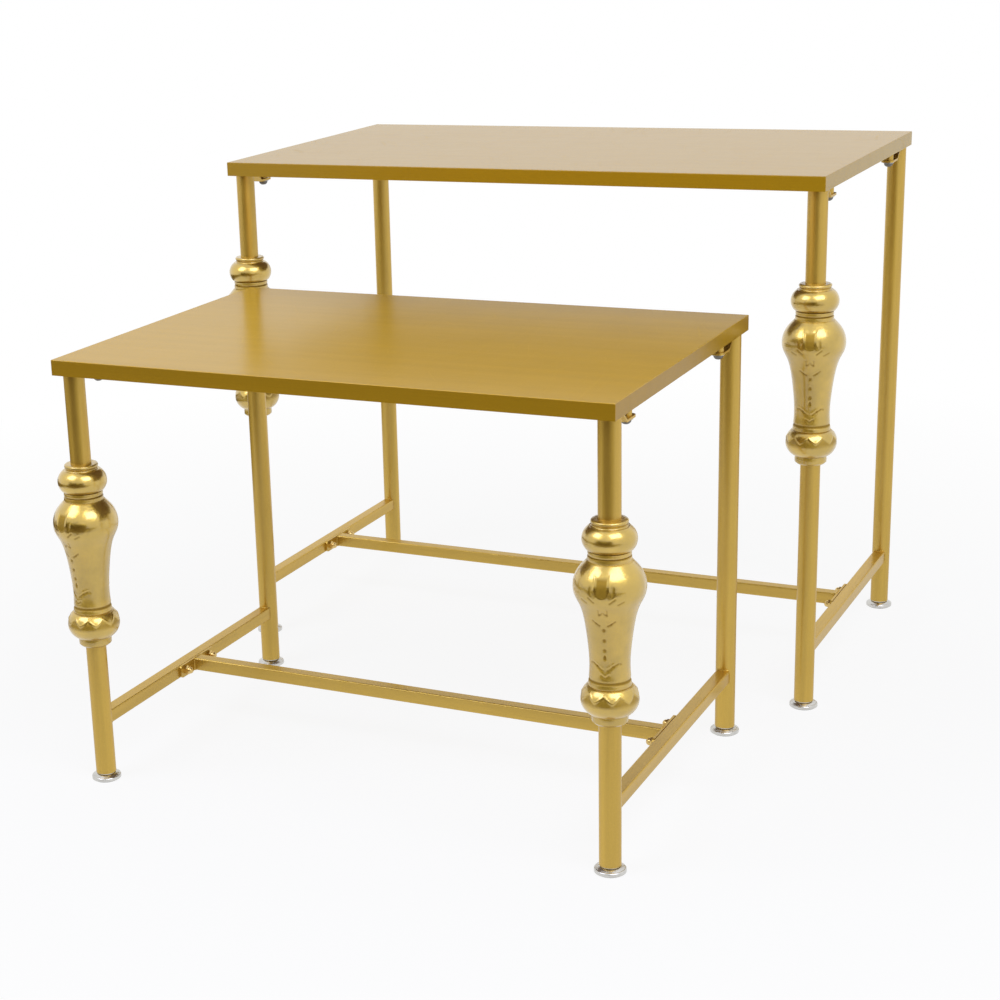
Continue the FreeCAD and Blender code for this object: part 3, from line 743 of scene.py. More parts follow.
@dataclass
class Shell:
    """Closed surface on a grid that wraps round both ways, with values at its points."""

    points: np.ndarray
    values: dict[str, np.ndarray] = field(default_factory=dict)

    def faces(self) -> np.ndarray:
        """Corners of each face.

        Returns:
            Four point numbers per face: the point, its neighbour in the row, and the two of
            the next row, where the last row and column are followed by the first.
        """
        rows, columns = self.points.shape[:2]
        number = np.arange(rows * columns).reshape(rows, columns)
        right = np.roll(number, -1, axis=1)
        below = np.roll(number, -1, axis=0)
        across = np.roll(below, -1, axis=1)
        quads = np.stack([number, right, across, below], axis=-1).reshape(-1, 4)
        return quads if self.volume(quads) > 0.0 else quads[:, ::-1]

    def volume(self, quads: np.ndarray) -> float:
        """Signed volume: the sum of the tetrahedra from the origin to each half of a face.

        Args:
            quads: four point numbers per face.

        Returns:
            Cubic metres, above zero if the faces point outwards.
        """
        corner = self.points.reshape(-1, 3)[quads]
        halves = (np.cross(corner[:, near], corner[:, near + 1]) for near in (1, 2))
        return float(sum(np.einsum("ij,ij->", corner[:, 0], half) for half in halves) / 6.0)


def new_object(name: str, data: bpy.types.ID) -> bpy.types.Object:
    """Puts data into the scene.

    Args:
        name: name of the new object.
        data: its mesh, lamp or camera.

    Returns:
        The object, at the origin.
    """
    made = bpy.data.objects.new(name, data)
    bpy.context.scene.collection.objects.link(made)
    return made


def mesh_of(name: str, shells: list[Shell]) -> bpy.types.Object:
    """Joins shells into one smooth-shaded object.

    Args:
        name: name of the new piece.
        shells: its closed surfaces.

    Returns:
        The object, at the origin.
    """
    starts = np.cumsum([0] + [shell.points[..., 0].size for shell in shells])
    points = np.concatenate([shell.points.reshape(-1, 3) for shell in shells])
    quads = np.concatenate([shell.faces() + start for shell, start in zip(shells, starts)])
    mesh = bpy.data.meshes.new(name)
    mesh.vertices.add(len(points))
    mesh.vertices.foreach_set("co", points.astype(np.float32).ravel())
    mesh.loops.add(quads.size)
    mesh.loops.foreach_set("vertex_index", quads.astype(np.int32).ravel())
    mesh.polygons.add(len(quads))
    mesh.polygons.foreach_set("loop_start", np.arange(0, quads.size, 4, dtype=np.int32))
    for label in shells[0].values:
        layer = mesh.attributes.new(label, "FLOAT", "POINT")
        numbers = np.concatenate([shell.values[label].ravel() for shell in shells])
        layer.data.foreach_set("value", numbers.astype(np.float32))
    mesh.update(calc_edges=True)
    mesh.shade_smooth()
    mesh.set_sharp_from_angle(angle=CREASE)
    return new_object(name, mesh)


def smooth_step(value: np.ndarray, low: float, high: float) -> np.ndarray:
    """0 below low and 1 above high, with the curve 3t^2 - 2t^3 between them."""
    share = np.clip((value - low) / (high - low), 0.0, 1.0)
    return share * share * (3.0 - 2.0 * share)


def window(value: np.ndarray, rise: Pair, fade: Pair) -> np.ndarray:
    """Up from 0 to 1 over the rise, and down again over the fade, whose end comes first."""
    return smooth_step(value, *rise) * smooth_step(value, *fade)


def hump(distance: np.ndarray, width: float) -> np.ndarray:
    """Bell curve of a distance: 1 at zero, and 1/e of that at the width given."""
    return np.exp(-((distance / width) ** 2))


def angles_round(count: int) -> np.ndarray:
    """Evenly spaced angles once round."""
    return np.arange(count) / count * WHOLE_TURN


# --- cast ornament ---

class Outline:
    """A profile drawn stretch by stretch, each from where the last one ended.

    Its points are (radius, depth), and a stretch has so many rows of them, up to but not
    at its end.
    """

    def __init__(self, start: Pair) -> None:
        """Puts the pen down."""
        self.pen = np.asarray(start, float)
        self.stretches: list[np.ndarray] = []

    def draw(self, points: np.ndarray, end: Pair) -> None:
        """Adds a stretch and moves the pen to its end."""
        self.stretches.append(points)
        self.pen = np.asarray(end, float)

    def line(self, end: Pair, rows: int) -> None:
        """Straight stretch: the start times the share still to go, plus the end times the rest."""
        share = np.arange(rows)[:, None] / rows
        self.draw(self.pen * (1.0 - share) + np.asarray(end) * share, end)

    def arc(self, crown: Pair, end: Pair, rows: int) -> None:
        """Circular stretch through a crown.

        The circle's centre is equally far from the start, the crown and the end, and the
        angle about it goes evenly from the first to the last.

        Args:
            crown: a point between start and end.
            end: where the stretch ends.
            rows: number of points.
        """
        first, middle, last = (np.asarray(point, float) for point in (self.pen, crown, end))
        sides = 2.0 * np.array([middle - first, last - first])
        squares = np.array([middle @ middle - first @ first, last @ last - first @ first])
        centre = np.linalg.solve(sides, squares)
        turned = np.unwrap([math.atan2(*(point - centre)[::-1]) for point in (first, middle, last)])
        share = np.arange(rows) / rows
        angle = turned[0] * (1.0 - share) + turned[2] * share
        round_it = np.stack([np.cos(angle), np.sin(angle)], axis=-1)
        self.draw(centre + np.linalg.norm(first - centre) * round_it, end)

    def curve(self, stations: list[Pair], rows: int) -> None:
        """Smooth stretch through stations, from the first of them to the last.

        A cubic between each two stations, on the straight distance between them, whose slopes
        and curvatures agree at every station and whose two ends have no curvature.

        Args:
            stations: points to pass through.
            rows: number of points.
        """
        knots = np.asarray(stations, float)
        gaps = np.linalg.norm(np.diff(knots, axis=0), axis=1)
        along = np.concatenate([[0.0], np.cumsum(gaps)])
        count = len(knots)
        system = np.eye(count)
        answer = np.zeros((count, 2))
        inner = np.arange(1, count - 1)
        system[inner, inner - 1] = gaps[:-1]
        system[inner, inner] = 2.0 * (gaps[:-1] + gaps[1:])
        system[inner, inner + 1] = gaps[1:]
        slopes = np.diff(knots, axis=0) / gaps[:, None]
        answer[inner] = 6.0 * (slopes[1:] - slopes[:-1])
        bends = np.linalg.solve(system, answer)
        place = along[-1] * np.arange(rows) / rows
        span = np.clip(np.searchsorted(along, place, side="right") - 1, 0, count - 2)
        gap = gaps[span][:, None]
        after = (place - along[span])[:, None] / gap
        before = 1.0 - after
        bend = (before**3 - before) * bends[span] + (after**3 - after) * bends[span + 1]
        self.draw(before * knots[span] + after * knots[span + 1] + bend * gap**2 / 6.0, stations[-1])

    def groove(self, floor: float, edge: float, width: float, rows: int = 3) -> None:
        """V groove: one slope in to its floor and one out to its lower edge.

        Args:
            floor: radius at the bottom of the groove.
            edge: radius of the lower edge.
            width: how far down the outline it goes.
            rows: number of points on each slope.
        """
        depth = self.pen[1]
        self.line((floor, depth + width / 2.0), rows)
        self.line((edge, depth + width), rows)

    def points(self) -> np.ndarray:
        """All the (radius, depth) points, in order."""
        return np.concatenate(self.stretches)


@dataclass(frozen=True)
class Stroke:
    """One chased stroke and its mirror image, in millimetres from a motif's middle line."""

    start: Pair
    end: Pair
    width: float = 1.4
    depth: float = 0.5
    lip_share: float = 0.5

    def reach(self, side: np.ndarray, fall: np.ndarray) -> np.ndarray:
        """Distance to the nearest point of the line from start to end.

        Args:
            side: millimetres from the motif's middle line.
            fall: millimetres below the vase's mouth.

        Returns:
            Millimetres.
        """
        first, second = np.array(self.start), np.array(self.end)
        run = second - first
        place_x, place_y = side - first[0], fall - first[1]
        share = np.clip((place_x * run[0] + place_y * run[1]) / (run @ run), 0.0, 1.0)
        return np.hypot(place_x - share * run[0], place_y - share * run[1])

    def cut(self, side: np.ndarray, fall: np.ndarray) -> np.ndarray:
        """Depth of the stroke: a bell curve of the reach, with a low lip along its upper side.

        The lip is the same curve of the reach from a point two stroke widths further down.

        Args:
            side: millimetres from the motif's middle line.
            fall: millimetres below the vase's mouth.

        Returns:
            Millimetres, above zero where metal is cut away.
        """
        middle = hump(self.reach(side, fall), self.width)
        lip = hump(self.reach(side, fall + 2.0 * self.width), self.width)
        return self.depth * (middle - self.lip_share * lip)


@dataclass(frozen=True)
class Ridge:
    """A long rib, or a flute if its height is below zero, on both sides of a panel."""

    place: float
    width: float
    height: float
    rise: Pair
    fade: Pair


@dataclass(frozen=True)
class Relief:
    """What is chased into the casting, in millimetres on its unrolled skin.

    A rise goes from nothing to the full height, and a fade ends where it is named first.
    """

    repeats: int = 2
    panel_half_width: float = 6.8
    panel_side_fade: float = 1.6
    panel_rise: Pair = (9.5, 14.5)
    panel_end: float = 34.5
    panel_foot_curve: float = 0.09
    panel_foot_fade: float = 2.5
    panel_depth: float = 0.55
    ridges: tuple[Ridge, ...] = (
        Ridge(8.7, 1.1, 0.42, (4.5, 12.5), (38.5, 31.5)),
        Ridge(13.4, 1.7, -0.38, (18.0, 24.0), (34.0, 29.0)),
    )
    strokes: tuple[Stroke, ...] = (
        Stroke((9.5, 39.5), (16.0, 34.0)),
        Stroke((19.0, 41.5), (26.0, 38.0), depth=0.4),
        Stroke((5.0, 49.5), (4.6, 56.5), width=1.3),
        Stroke((1.2, 53.0), (2.6, 55.5), depth=0.35),
        Stroke((5.0, 70.0), (8.6, 68.0)),
        Stroke((10.0, 67.0), (13.5, 64.5), depth=0.4),
        Stroke((3.4, 126.5), (9.0, 122.3), width=1.6),
        Stroke((10.0, 121.5), (15.5, 118.8)),
        Stroke((18.5, 118.5), (19.0, 119.8), depth=0.4),
        Stroke((0.0, 136.2), (4.4, 133.2), width=1.5),
    )
    bead_falls: tuple[float, ...] = (75.8, 88.8, 101.4)
    bead_size: float = 2.0
    bead_depth: float = 0.75
    bead_core_size: float = 0.8
    bead_core_height: float = 0.3
    drop_fall: float = 110.5
    drop_half_height: float = 3.8
    drop_half_width: float = 2.2
    drop_half_widths: Pair = (1.1, 3.6)
    drop_taper: float = 0.15
    drop_edge: Pair = (1.15, 0.55)
    drop_depth: float = 0.55
    hem_groove_fall: float = 143.4
    hem_groove_width: float = 1.8
    hem_groove_depth: float = 0.8
    vase_rise: Pair = (5.0, 10.0)
    vase_fade: Pair = (149.6, 147.6)
    petal_count: int = 10
    petal_top: float = 3.2
    petal_tip: float = 11.4
    petal_point: float = 1.15
    petal_dome: float = 0.1
    petal_dome_width: float = 3.0
    rim_slope: float = 0.68
    rim_height: float = 0.42
    rim_width: float = 1.1
    ground_depth: float = 0.42
    ground_step: Pair = (0.4, 2.6)
    ground_fade: Pair = (21.0, 12.0)
    bulb_rise: Pair = (0.8, 3.2)
    bulb_fade: Pair = (3.0, 7.0)

    def across(self, angle: np.ndarray, radius: np.ndarray) -> np.ndarray:
        """Distance round the skin from the nearest middle line of a motif.

        Args:
            angle: radians round the axis.
            radius: millimetres from the axis.

        Returns:
            Millimetres, below zero on one side.
        """
        turn = angle * self.repeats / WHOLE_TURN
        return (turn - np.round(turn)) * WHOLE_TURN / self.repeats * radius

    def vase(self, angle: np.ndarray, radius: np.ndarray, fall: np.ndarray) -> np.ndarray:
        """Height of the vase's relief.

        On each main line, from the top: a sunk panel with a round foot between two ribs,
        short slanting strokes, three pricked beads, a drop, and a chevron of strokes over
        the hem.

        Args:
            angle: radians round the axis.
            radius: millimetres from the axis.
            fall: millimetres below the vase's mouth.

        Returns:
            Millimetres.
        """
        main = self.across(angle, radius)
        side = np.abs(main)
        foot = self.panel_end - self.panel_foot_curve * side**2
        panel = smooth_step(side, self.panel_half_width, self.panel_half_width - self.panel_side_fade)
        panel = panel * window(fall, self.panel_rise, (foot, foot - self.panel_foot_fade))
        height = -self.panel_depth * panel
        for ridge in self.ridges:
            shape = hump(side - ridge.place, ridge.width) * window(fall, ridge.rise, ridge.fade)
            height += ridge.height * shape
        for stroke in self.strokes:
            height -= stroke.cut(side, fall)
        for bead in self.bead_falls:
            reach = np.hypot(main, fall - bead)
            core = self.bead_core_height * hump(reach, self.bead_core_size)
            height -= self.bead_depth * hump(reach, self.bead_size) - core
        slim = (self.drop_half_width + self.drop_taper * (fall - self.drop_fall)).clip(*self.drop_half_widths)
        drop = np.hypot(main / slim, (fall - self.drop_fall) / self.drop_half_height)
        height -= self.drop_depth * smooth_step(drop, *self.drop_edge)
        height -= self.hem_groove_depth * hump(fall - self.hem_groove_fall, self.hem_groove_width)
        return height * window(fall, self.vase_rise, self.vase_fade)

    def lower_bulb(self, angle: np.ndarray, fall: np.ndarray, total: float) -> np.ndarray:
        """Height on the lower bulb: pointed petals that hang from its upper edge.

        The petals' rim is a zigzag: its fall goes from the tip in the middle of each petal
        to the top between two of them, as a power a little above 1 of the way between.
        The rim is a ridge, each petal is domed above it and the ground below it is sunk as
        far as the bulb's plain underside.

        Args:
            angle: radians round the axis.
            fall: millimetres below the bulb's upper edge.
            total: the bulb's whole height.

        Returns:
            Millimetres.
        """
        turn = angle / WHOLE_TURN * self.petal_count
        wave = np.abs(np.mod(turn, 1.0) - 0.5) * 2.0
        rim = self.petal_tip + (self.petal_top - self.petal_tip) * wave**self.petal_point
        below = self.rim_slope * (fall - rim)
        ridge = self.rim_height * hump(below, self.rim_width)
        petal = self.petal_dome * (1.0 - wave**2) * smooth_step(below, 0.0, -self.petal_dome_width)
        sunk = smooth_step(below, *self.ground_step) * smooth_step(fall, *self.ground_fade)
        fade = (total - self.bulb_fade[0], total - self.bulb_fade[1])
        return (ridge + petal - self.ground_depth * sunk) * window(fall, self.bulb_rise, fade)


@dataclass
class Ornament:
    """Hollow cast baluster on a front leg; sizes in millimetres, depths from its upper end.

    A bulb's three radii are those of its upper edge, its crown and its lower edge.
    """

    tier: Tier
    corner: Corner
    turned: float
    relief: Relief = field(default_factory=Relief)
    columns: int = 304
    skin_play: float = 0.02
    skin_edge: float = 0.1
    least_wall: float = 4.0
    bore: float = 13.5
    lip_radius: float = 21.8
    lip_height: float = 4.4
    lip_rounding: float = 1.3
    lip_undercut: float = 0.9
    collar_radius: float = 20.4
    collar_height: float = 3.2
    collar_step: float = 1.0
    upper_bulb: Triple = (24.4, 31.8, 27.4)
    upper_bulb_height: float = 27.0
    groove_width: float = 2.0
    groove_depth: float = 1.6
    hem_groove_depth: float = 0.6
    neck_ring_radius: float = 25.2
    neck_ring_height: float = 4.6
    neck_ring_rounding: float = 0.3
    neck_band_radius: float = 25.5
    neck_band_height: float = 5.4
    neck_band_rounding: float = 0.2
    vase_stations: tuple[Pair, ...] = (
        (26.8, 0.0),
        (37.4, 12.7),
        (42.2, 28.4),
        (41.0, 39.1),
        (35.2, 51.7),
        (29.6, 70.5),
        (26.3, 92.3),
        (23.8, 131.9),
        (25.4, 150.3),
    )
    lower_bulb: Triple = (27.2, 33.7, 23.1)
    lower_bulb_height: float = 34.5
    lower_crown_share: float = 0.60
    end_ring_radius: float = 21.3
    end_ring_height: float = 11.5
    end_ring_rounding: float = 0.3
    end_ring_shoulder: float = 2.0
    end_ring_chamfer: float = 2.5
    upper_polish: float = 1.0
    lower_polish: float = 0.7
    vase_polish: Pair = (50.0, 28.0)
    # Painted shade of each turned groove and the cove, as millimetres taken off the relief value.
    groove_shades: tuple[float, ...] = (0.22, 0.36, 0.46, 0.14, 0.14)
    groove_shade_width: float = 1.1

    @property
    def node(self) -> str:
        """Name of the CAD node that this piece stands for."""
        return self.tier.node(f"{self.corner.label}_ornament")

    @property
    def cove(self) -> float:
        """Depth of the middle of the hollow between lip and bulb."""
        return self.lip_height + self.collar_height / 2.0

    @property
    def bulb_start(self) -> float:
        """Depth of the upper bulb's upper edge."""
        return self.lip_height + self.collar_height

    @property
    def bulb_end(self) -> float:
        """Depth of the upper bulb's lower edge."""
        return self.bulb_start + self.upper_bulb_height

    @property
    def ring_end(self) -> float:
        """Depth of the neck ring's lower edge."""
        return self.bulb_end + self.groove_width + self.neck_ring_height

    @property
    def vase_start(self) -> float:
        """Depth of the vase's mouth."""
        return self.ring_end + self.groove_width + self.neck_band_height

    @property
    def vase_end(self) -> float:
        """Depth of the vase's hem."""
        return self.vase_start + self.vase_stations[-1][1]

    @property
    def lower_start(self) -> float:
        """Depth of the lower bulb's upper edge."""
        return self.vase_end + self.groove_width

    @property
    def ring_start(self) -> float:
        """Depth of the end ring's upper face."""
        return self.lower_start + self.lower_bulb_height

    @property
    def length(self) -> float:
        """Whole length of the casting."""
        return self.ring_start + self.end_ring_height

    def neck(self, outline: Outline, radius: float, edge: float, height: float) -> None:
        """Draws the groove above one of the neck's two rings, and the ring.

        Args:
            outline: where it is drawn.
            radius: the ring's greatest radius.
            edge: radius of the ring's two edges.
            height: the ring's height.
        """
        outline.groove(self.neck_ring_radius - self.groove_depth, edge, self.groove_width)
        start = outline.pen[1]
        outline.arc((radius, start + height / 2.0), (edge, start + height), rows=6)

    def profile(self) -> np.ndarray:
        """The closed outline from the bore, over the skin and back up the bore.

        Returns:
            (radius, depth) points in millimetres, in order.
        """
        lip, bulb_middle = self.lip_radius, self.bulb_start + self.upper_bulb_height / 2.0
        outline = Outline((self.bore, 0.0))
        outline.line((lip - self.lip_rounding, 0.0), rows=2)
        outline.arc((lip, self.lip_height / 2.0), (lip - self.lip_undercut, self.lip_height), rows=9)
        top, crown, foot = self.upper_bulb
        outline.arc((self.collar_radius, self.cove), (top - self.collar_step, self.bulb_start), rows=7)
        outline.arc((crown, bulb_middle), (foot, self.bulb_end), rows=34)
        for radius, rounding, height in (
            (self.neck_ring_radius, self.neck_ring_rounding, self.neck_ring_height),
            (self.neck_band_radius, self.neck_band_rounding, self.neck_band_height),
        ):
            self.neck(outline, radius, radius - rounding, height)
        vase = [(radius, self.vase_start + fall) for radius, fall in self.vase_stations]
        outline.curve(vase, rows=164)
        top, crown, foot = self.lower_bulb
        outline.groove(self.vase_stations[-1][0] - self.hem_groove_depth, top, self.groove_width)
        middle = self.lower_start + self.lower_bulb_height * self.lower_crown_share
        outline.arc((crown, middle), (foot, self.ring_start), rows=46)
        ring, chamfer = self.end_ring_radius, self.length - self.end_ring_chamfer
        outline.line((ring - self.end_ring_rounding, self.ring_start), rows=1)
        outline.arc((ring, self.ring_start + self.end_ring_shoulder), (ring, chamfer), rows=4)
        outline.line((ring - self.end_ring_chamfer, self.length), rows=3)
        outline.line((self.bore, self.length), rows=2)
        outline.line((self.bore, 0.0), rows=8)
        return outline.points()

    def painted_groove_shade(self, depth: np.ndarray) -> np.ndarray:
        """Painted shade in the turned grooves and the cove under the lip: a bell curve down the casting at
        the middle of each.

        Args:
            depth: millimetres below the upper end.

        Returns:
            How far the relief's value is lowered, in millimetres.
        """
        half = self.groove_width / 2.0
        upper = (self.cove, self.bulb_end + half, self.ring_end + half)
        middles = (*upper, self.vase_start, self.lower_start - half)
        return sum(
            shade * hump(depth - middle, self.groove_shade_width)
            for middle, shade in zip(middles, self.groove_shades)
        )

    def shell(self) -> Shell:
        """The profile turned round the leg and pushed out along its own normal by the relief.

        A point at angle a and station s is (r cos a, r sin a, -d), where (r, d) is the
        profile at s plus the relief at (a, s) times the profile's outward normal there.

        Returns:
            The closed surface, with the relief, lowered by the painted groove shade, and the polish as
            values.
        """
        outline = self.profile()
        tangent = np.roll(outline, -1, axis=0) - np.roll(outline, 1, axis=0)
        tangent /= np.linalg.norm(tangent, axis=1)[:, None]
        angle = angles_round(self.columns)[None, :]
        motif = angle - self.turned
        radius, depth = outline[:, :1], outline[:, 1:]

        def within(start: float, end: float) -> np.ndarray:
            """True on the rows of the outer skin between two depths."""
            return (radius > self.bore + self.least_wall) & (depth > start) & (depth < end)

        skin = within(self.skin_edge, self.length - self.skin_edge)
        on_upper = within(self.bulb_start, self.bulb_end)
        on_vase = within(self.vase_start, self.vase_end)
        on_lower = within(self.lower_start, self.ring_start)
        height = np.where(on_vase, self.relief.vase(motif, radius, depth - self.vase_start), 0.0)
        petals = self.relief.lower_bulb(motif, depth - self.lower_start, self.lower_bulb_height)
        height += np.where(on_lower, petals, 0.0)
        polish = self.upper_polish * on_upper + self.lower_polish * on_lower
        polish = polish + on_vase * smooth_step(depth - self.vase_start, *self.vase_polish)
        widest = outline[:, 0].max() - self.skin_play
        radius_out = np.minimum(radius + height * tangent[:, 1:], widest)
        depth_out = depth - height * tangent[:, :1]
        place = self.place()
        points = np.stack(
            [
                place.x + radius_out * np.cos(angle) * MILLIMETRE,
                place.y + radius_out * np.sin(angle) * MILLIMETRE,
                place.z - depth_out * MILLIMETRE,
            ],
            axis=-1,
        )
        # Painted shade: the grooves and the cove are darkened through the relief value alone, and the shape
        # keeps its height.
        relief = height - np.where(skin, self.painted_groove_shade(depth), 0.0)
        return Shell(points, {"relief": relief, "polish": polish * np.ones_like(angle)})

    def place(self) -> Vector:
        """Middle of the casting's upper end, from the CAD node's box."""
        low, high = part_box(self.node)
        return Vector(((low.x + high.x) / 2.0, (low.y + high.y) / 2.0, high.z))

    def make(self, finisher: Finisher) -> None:
        """Builds the casting on its table's body, in place of its plain CAD node.

        Args:
            finisher: gives the piece its gold.
        """
        piece = mesh_of(f"{self.node}_casting", [self.shell()])
        finisher.dress(piece, "cast")
        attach(piece, self.tier.body)
        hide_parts(self.node)
        LOG.info("made %s", piece.name)


# --- weld beads ---

@dataclass
class WeldBeads:
    """The small rippled fillets where tubes, plates and lugs are welded together."""

    tier: Tier
    bead_radius: float = 0.0013
    lug_bead_radius: float = 0.0009
    ripple: float = 0.16
    ripple_pitch: float = 0.0024
    path_points: int = 168
    round_points: int = 8
    squareness: float = 7.0

    def loop(self, half_width: float, half_height: float) -> tuple[np.ndarray, np.ndarray]:
        """Rounded rectangle: both halves times a power of the cosine and of the sine.

        Args:
            half_width: half of the rectangle across.
            half_height: half of it up.

        Returns:
            Across and up, in metres, once round.
        """
        angle = angles_round(self.path_points)
        power = 2.0 / self.squareness
        across, up = (np.sign(wave) * np.abs(wave) ** power for wave in (np.cos(angle), np.sin(angle)))
        return half_width * across, half_height * up

    def bead(self, path: np.ndarray, radius: float) -> Shell:
        """Tube along a closed path, whose radius ripples as a weld's does.

        A point is the path plus the radius times the outward direction turned round the
        path's tangent.  The radius is the bead's own, times 1 less the ripple, plus the
        ripple times a rectified sine of the way gone.

        Args:
            path: points of the closed path, in metres.
            radius: the bead's radius.

        Returns:
            The closed surface.
        """
        spacing = np.linalg.norm(np.roll(path, -1, axis=0) - path, axis=1)
        travelled = np.concatenate([[0.0], np.cumsum(spacing)])
        total = travelled[-1]
        even = np.arange(self.path_points) / self.path_points * total
        closed = np.concatenate([path, path[:1]])
        path = np.stack([np.interp(even, travelled, closed[:, axis]) for axis in range(3)], axis=-1)
        tangent = np.roll(path, -1, axis=0) - np.roll(path, 1, axis=0)
        tangent /= np.linalg.norm(tangent, axis=1)[:, None]
        out = path - path.mean(axis=0)
        out -= np.einsum("ij,ij->i", out, tangent)[:, None] * tangent
        out /= np.linalg.norm(out, axis=1)[:, None]
        side = np.cross(tangent, out)
        count = round(total / self.ripple_pitch)
        wave = np.abs(np.sin(math.pi * count * even / total))
        swell = radius * (1.0 - self.ripple + self.ripple * wave)[:, None, None]
        turn = angles_round(self.round_points)[None, :, None]
        return Shell(path[:, None] + swell * (np.cos(turn) * out[:, None] + np.sin(turn) * side[:, None]))

    def leg_beads(self, half_width: float, half_height: float, middle: float, radius: float) -> list[Shell]:
        """Beads where a bar that runs front to back meets each leg.

        Each point of the bar's outline is moved out to the leg's surface, the root of the
        leg's radius squared less the distance across squared.

        Args:
            half_width: half of the bar across.
            half_height: half of it up.
            middle: height of its middle above the floor.
            radius: the bead's radius.

        Returns:
            One closed surface for each leg.
        """
        across, up = self.loop(half_width, half_height)
        shells = []
        for corner in Corner:
            low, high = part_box(self.tier.node(f"{corner.label}_leg"))
            axis, leg_radius = (low + high) / 2.0, (high.x - low.x) / 2.0
            reach = np.sqrt(np.maximum(leg_radius**2 - across**2, 0.0))
            path = np.stack([axis.x + across, axis.y - corner.value[1] * reach, up + middle], axis=-1)
            shells.append(self.bead(path, radius))
        return shells

    def rail_beads(self) -> list[Shell]:
        """Beads at both ends of both side rails, which are as deep as the stretcher.

        Returns:
            One closed surface for each leg.
        """
        low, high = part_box(self.tier.node("cross_stretcher"))
        half = (high.z - low.z) / 2.0
        return self.leg_beads(half, half, (high.z + low.z) / 2.0, self.bead_radius)

    def lug_beads(self) -> list[Shell]:
        """Beads round each lug's root; a lug is as thick as it reaches below its spacer.

        Returns:
            One closed surface for each leg.
        """
        low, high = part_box(self.tier.node("leg_lugs"))
        half_height = (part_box(self.tier.node("lug_spacers"))[0].z - low.z) / 2.0
        leg_low, leg_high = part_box(self.tier.node(f"{Corner.FRONT_LEFT.label}_leg"))
        half_width = ((leg_low + leg_high) / 2.0).x - low.x
        return self.leg_beads(half_width, half_height, high.z - half_height, self.lug_bead_radius)

    def stretcher_beads(self) -> list[Shell]:
        """Beads where the stretcher meets its two end plates.

        Returns:
            One closed surface for each plate.
        """
        low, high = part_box(self.tier.node("cross_stretcher"))
        middle = (low + high) / 2.0
        across, up = self.loop((high.y - low.y) / 2.0, (high.z - low.z) / 2.0)
        ends = (np.full_like(across, low.x), np.full_like(across, high.x))
        paths = (np.stack([end, middle.y + across, middle.z + up], axis=-1) for end in ends)
        return [self.bead(path, self.bead_radius) for path in paths]

    def make(self, finisher: Finisher) -> None:
        """Builds the table's beads on its body, one piece for each kind of joint.

        Args:
            finisher: gives the pieces the tube's gold.
        """
        for name, shells in (
            ("rail_weld_beads", self.rail_beads()),
            ("lug_weld_beads", self.lug_beads()),
            ("stretcher_weld_beads", self.stretcher_beads()),
        ):
            piece = mesh_of(self.tier.node(name), shells)
            finisher.dress(piece, "upright")
            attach(piece, self.tier.body)
            LOG.info("made %s", piece.name)


# --- studio ---

@dataclass(frozen=True)
class SoftBox:
    """A flat lamp that faces a point; radiance 1 shows as plain white in a mirror."""

    name: str
    place: Triple
    aim: Triple
    width: float
    height: float
    radiance: float
    colour: Colour = (0.93, 0.97, 1.20)

    def make(self) -> None:
        """Builds the lamp, whose power is pi times its area times its radiance."""
        data = bpy.data.lights.new(self.name, "AREA")
        data.shape = "RECTANGLE"
        data.size = self.width
        data.size_y = self.height
        data.energy = math.pi * self.width * self.height * self.radiance
        data.color = self.colour
        lamp = new_object(self.name, data)
        lamp.location = self.place
        towards = Vector(self.aim) - Vector(self.place)
        lamp.rotation_euler = towards.to_track_quat("-Z", "Y").to_euler()


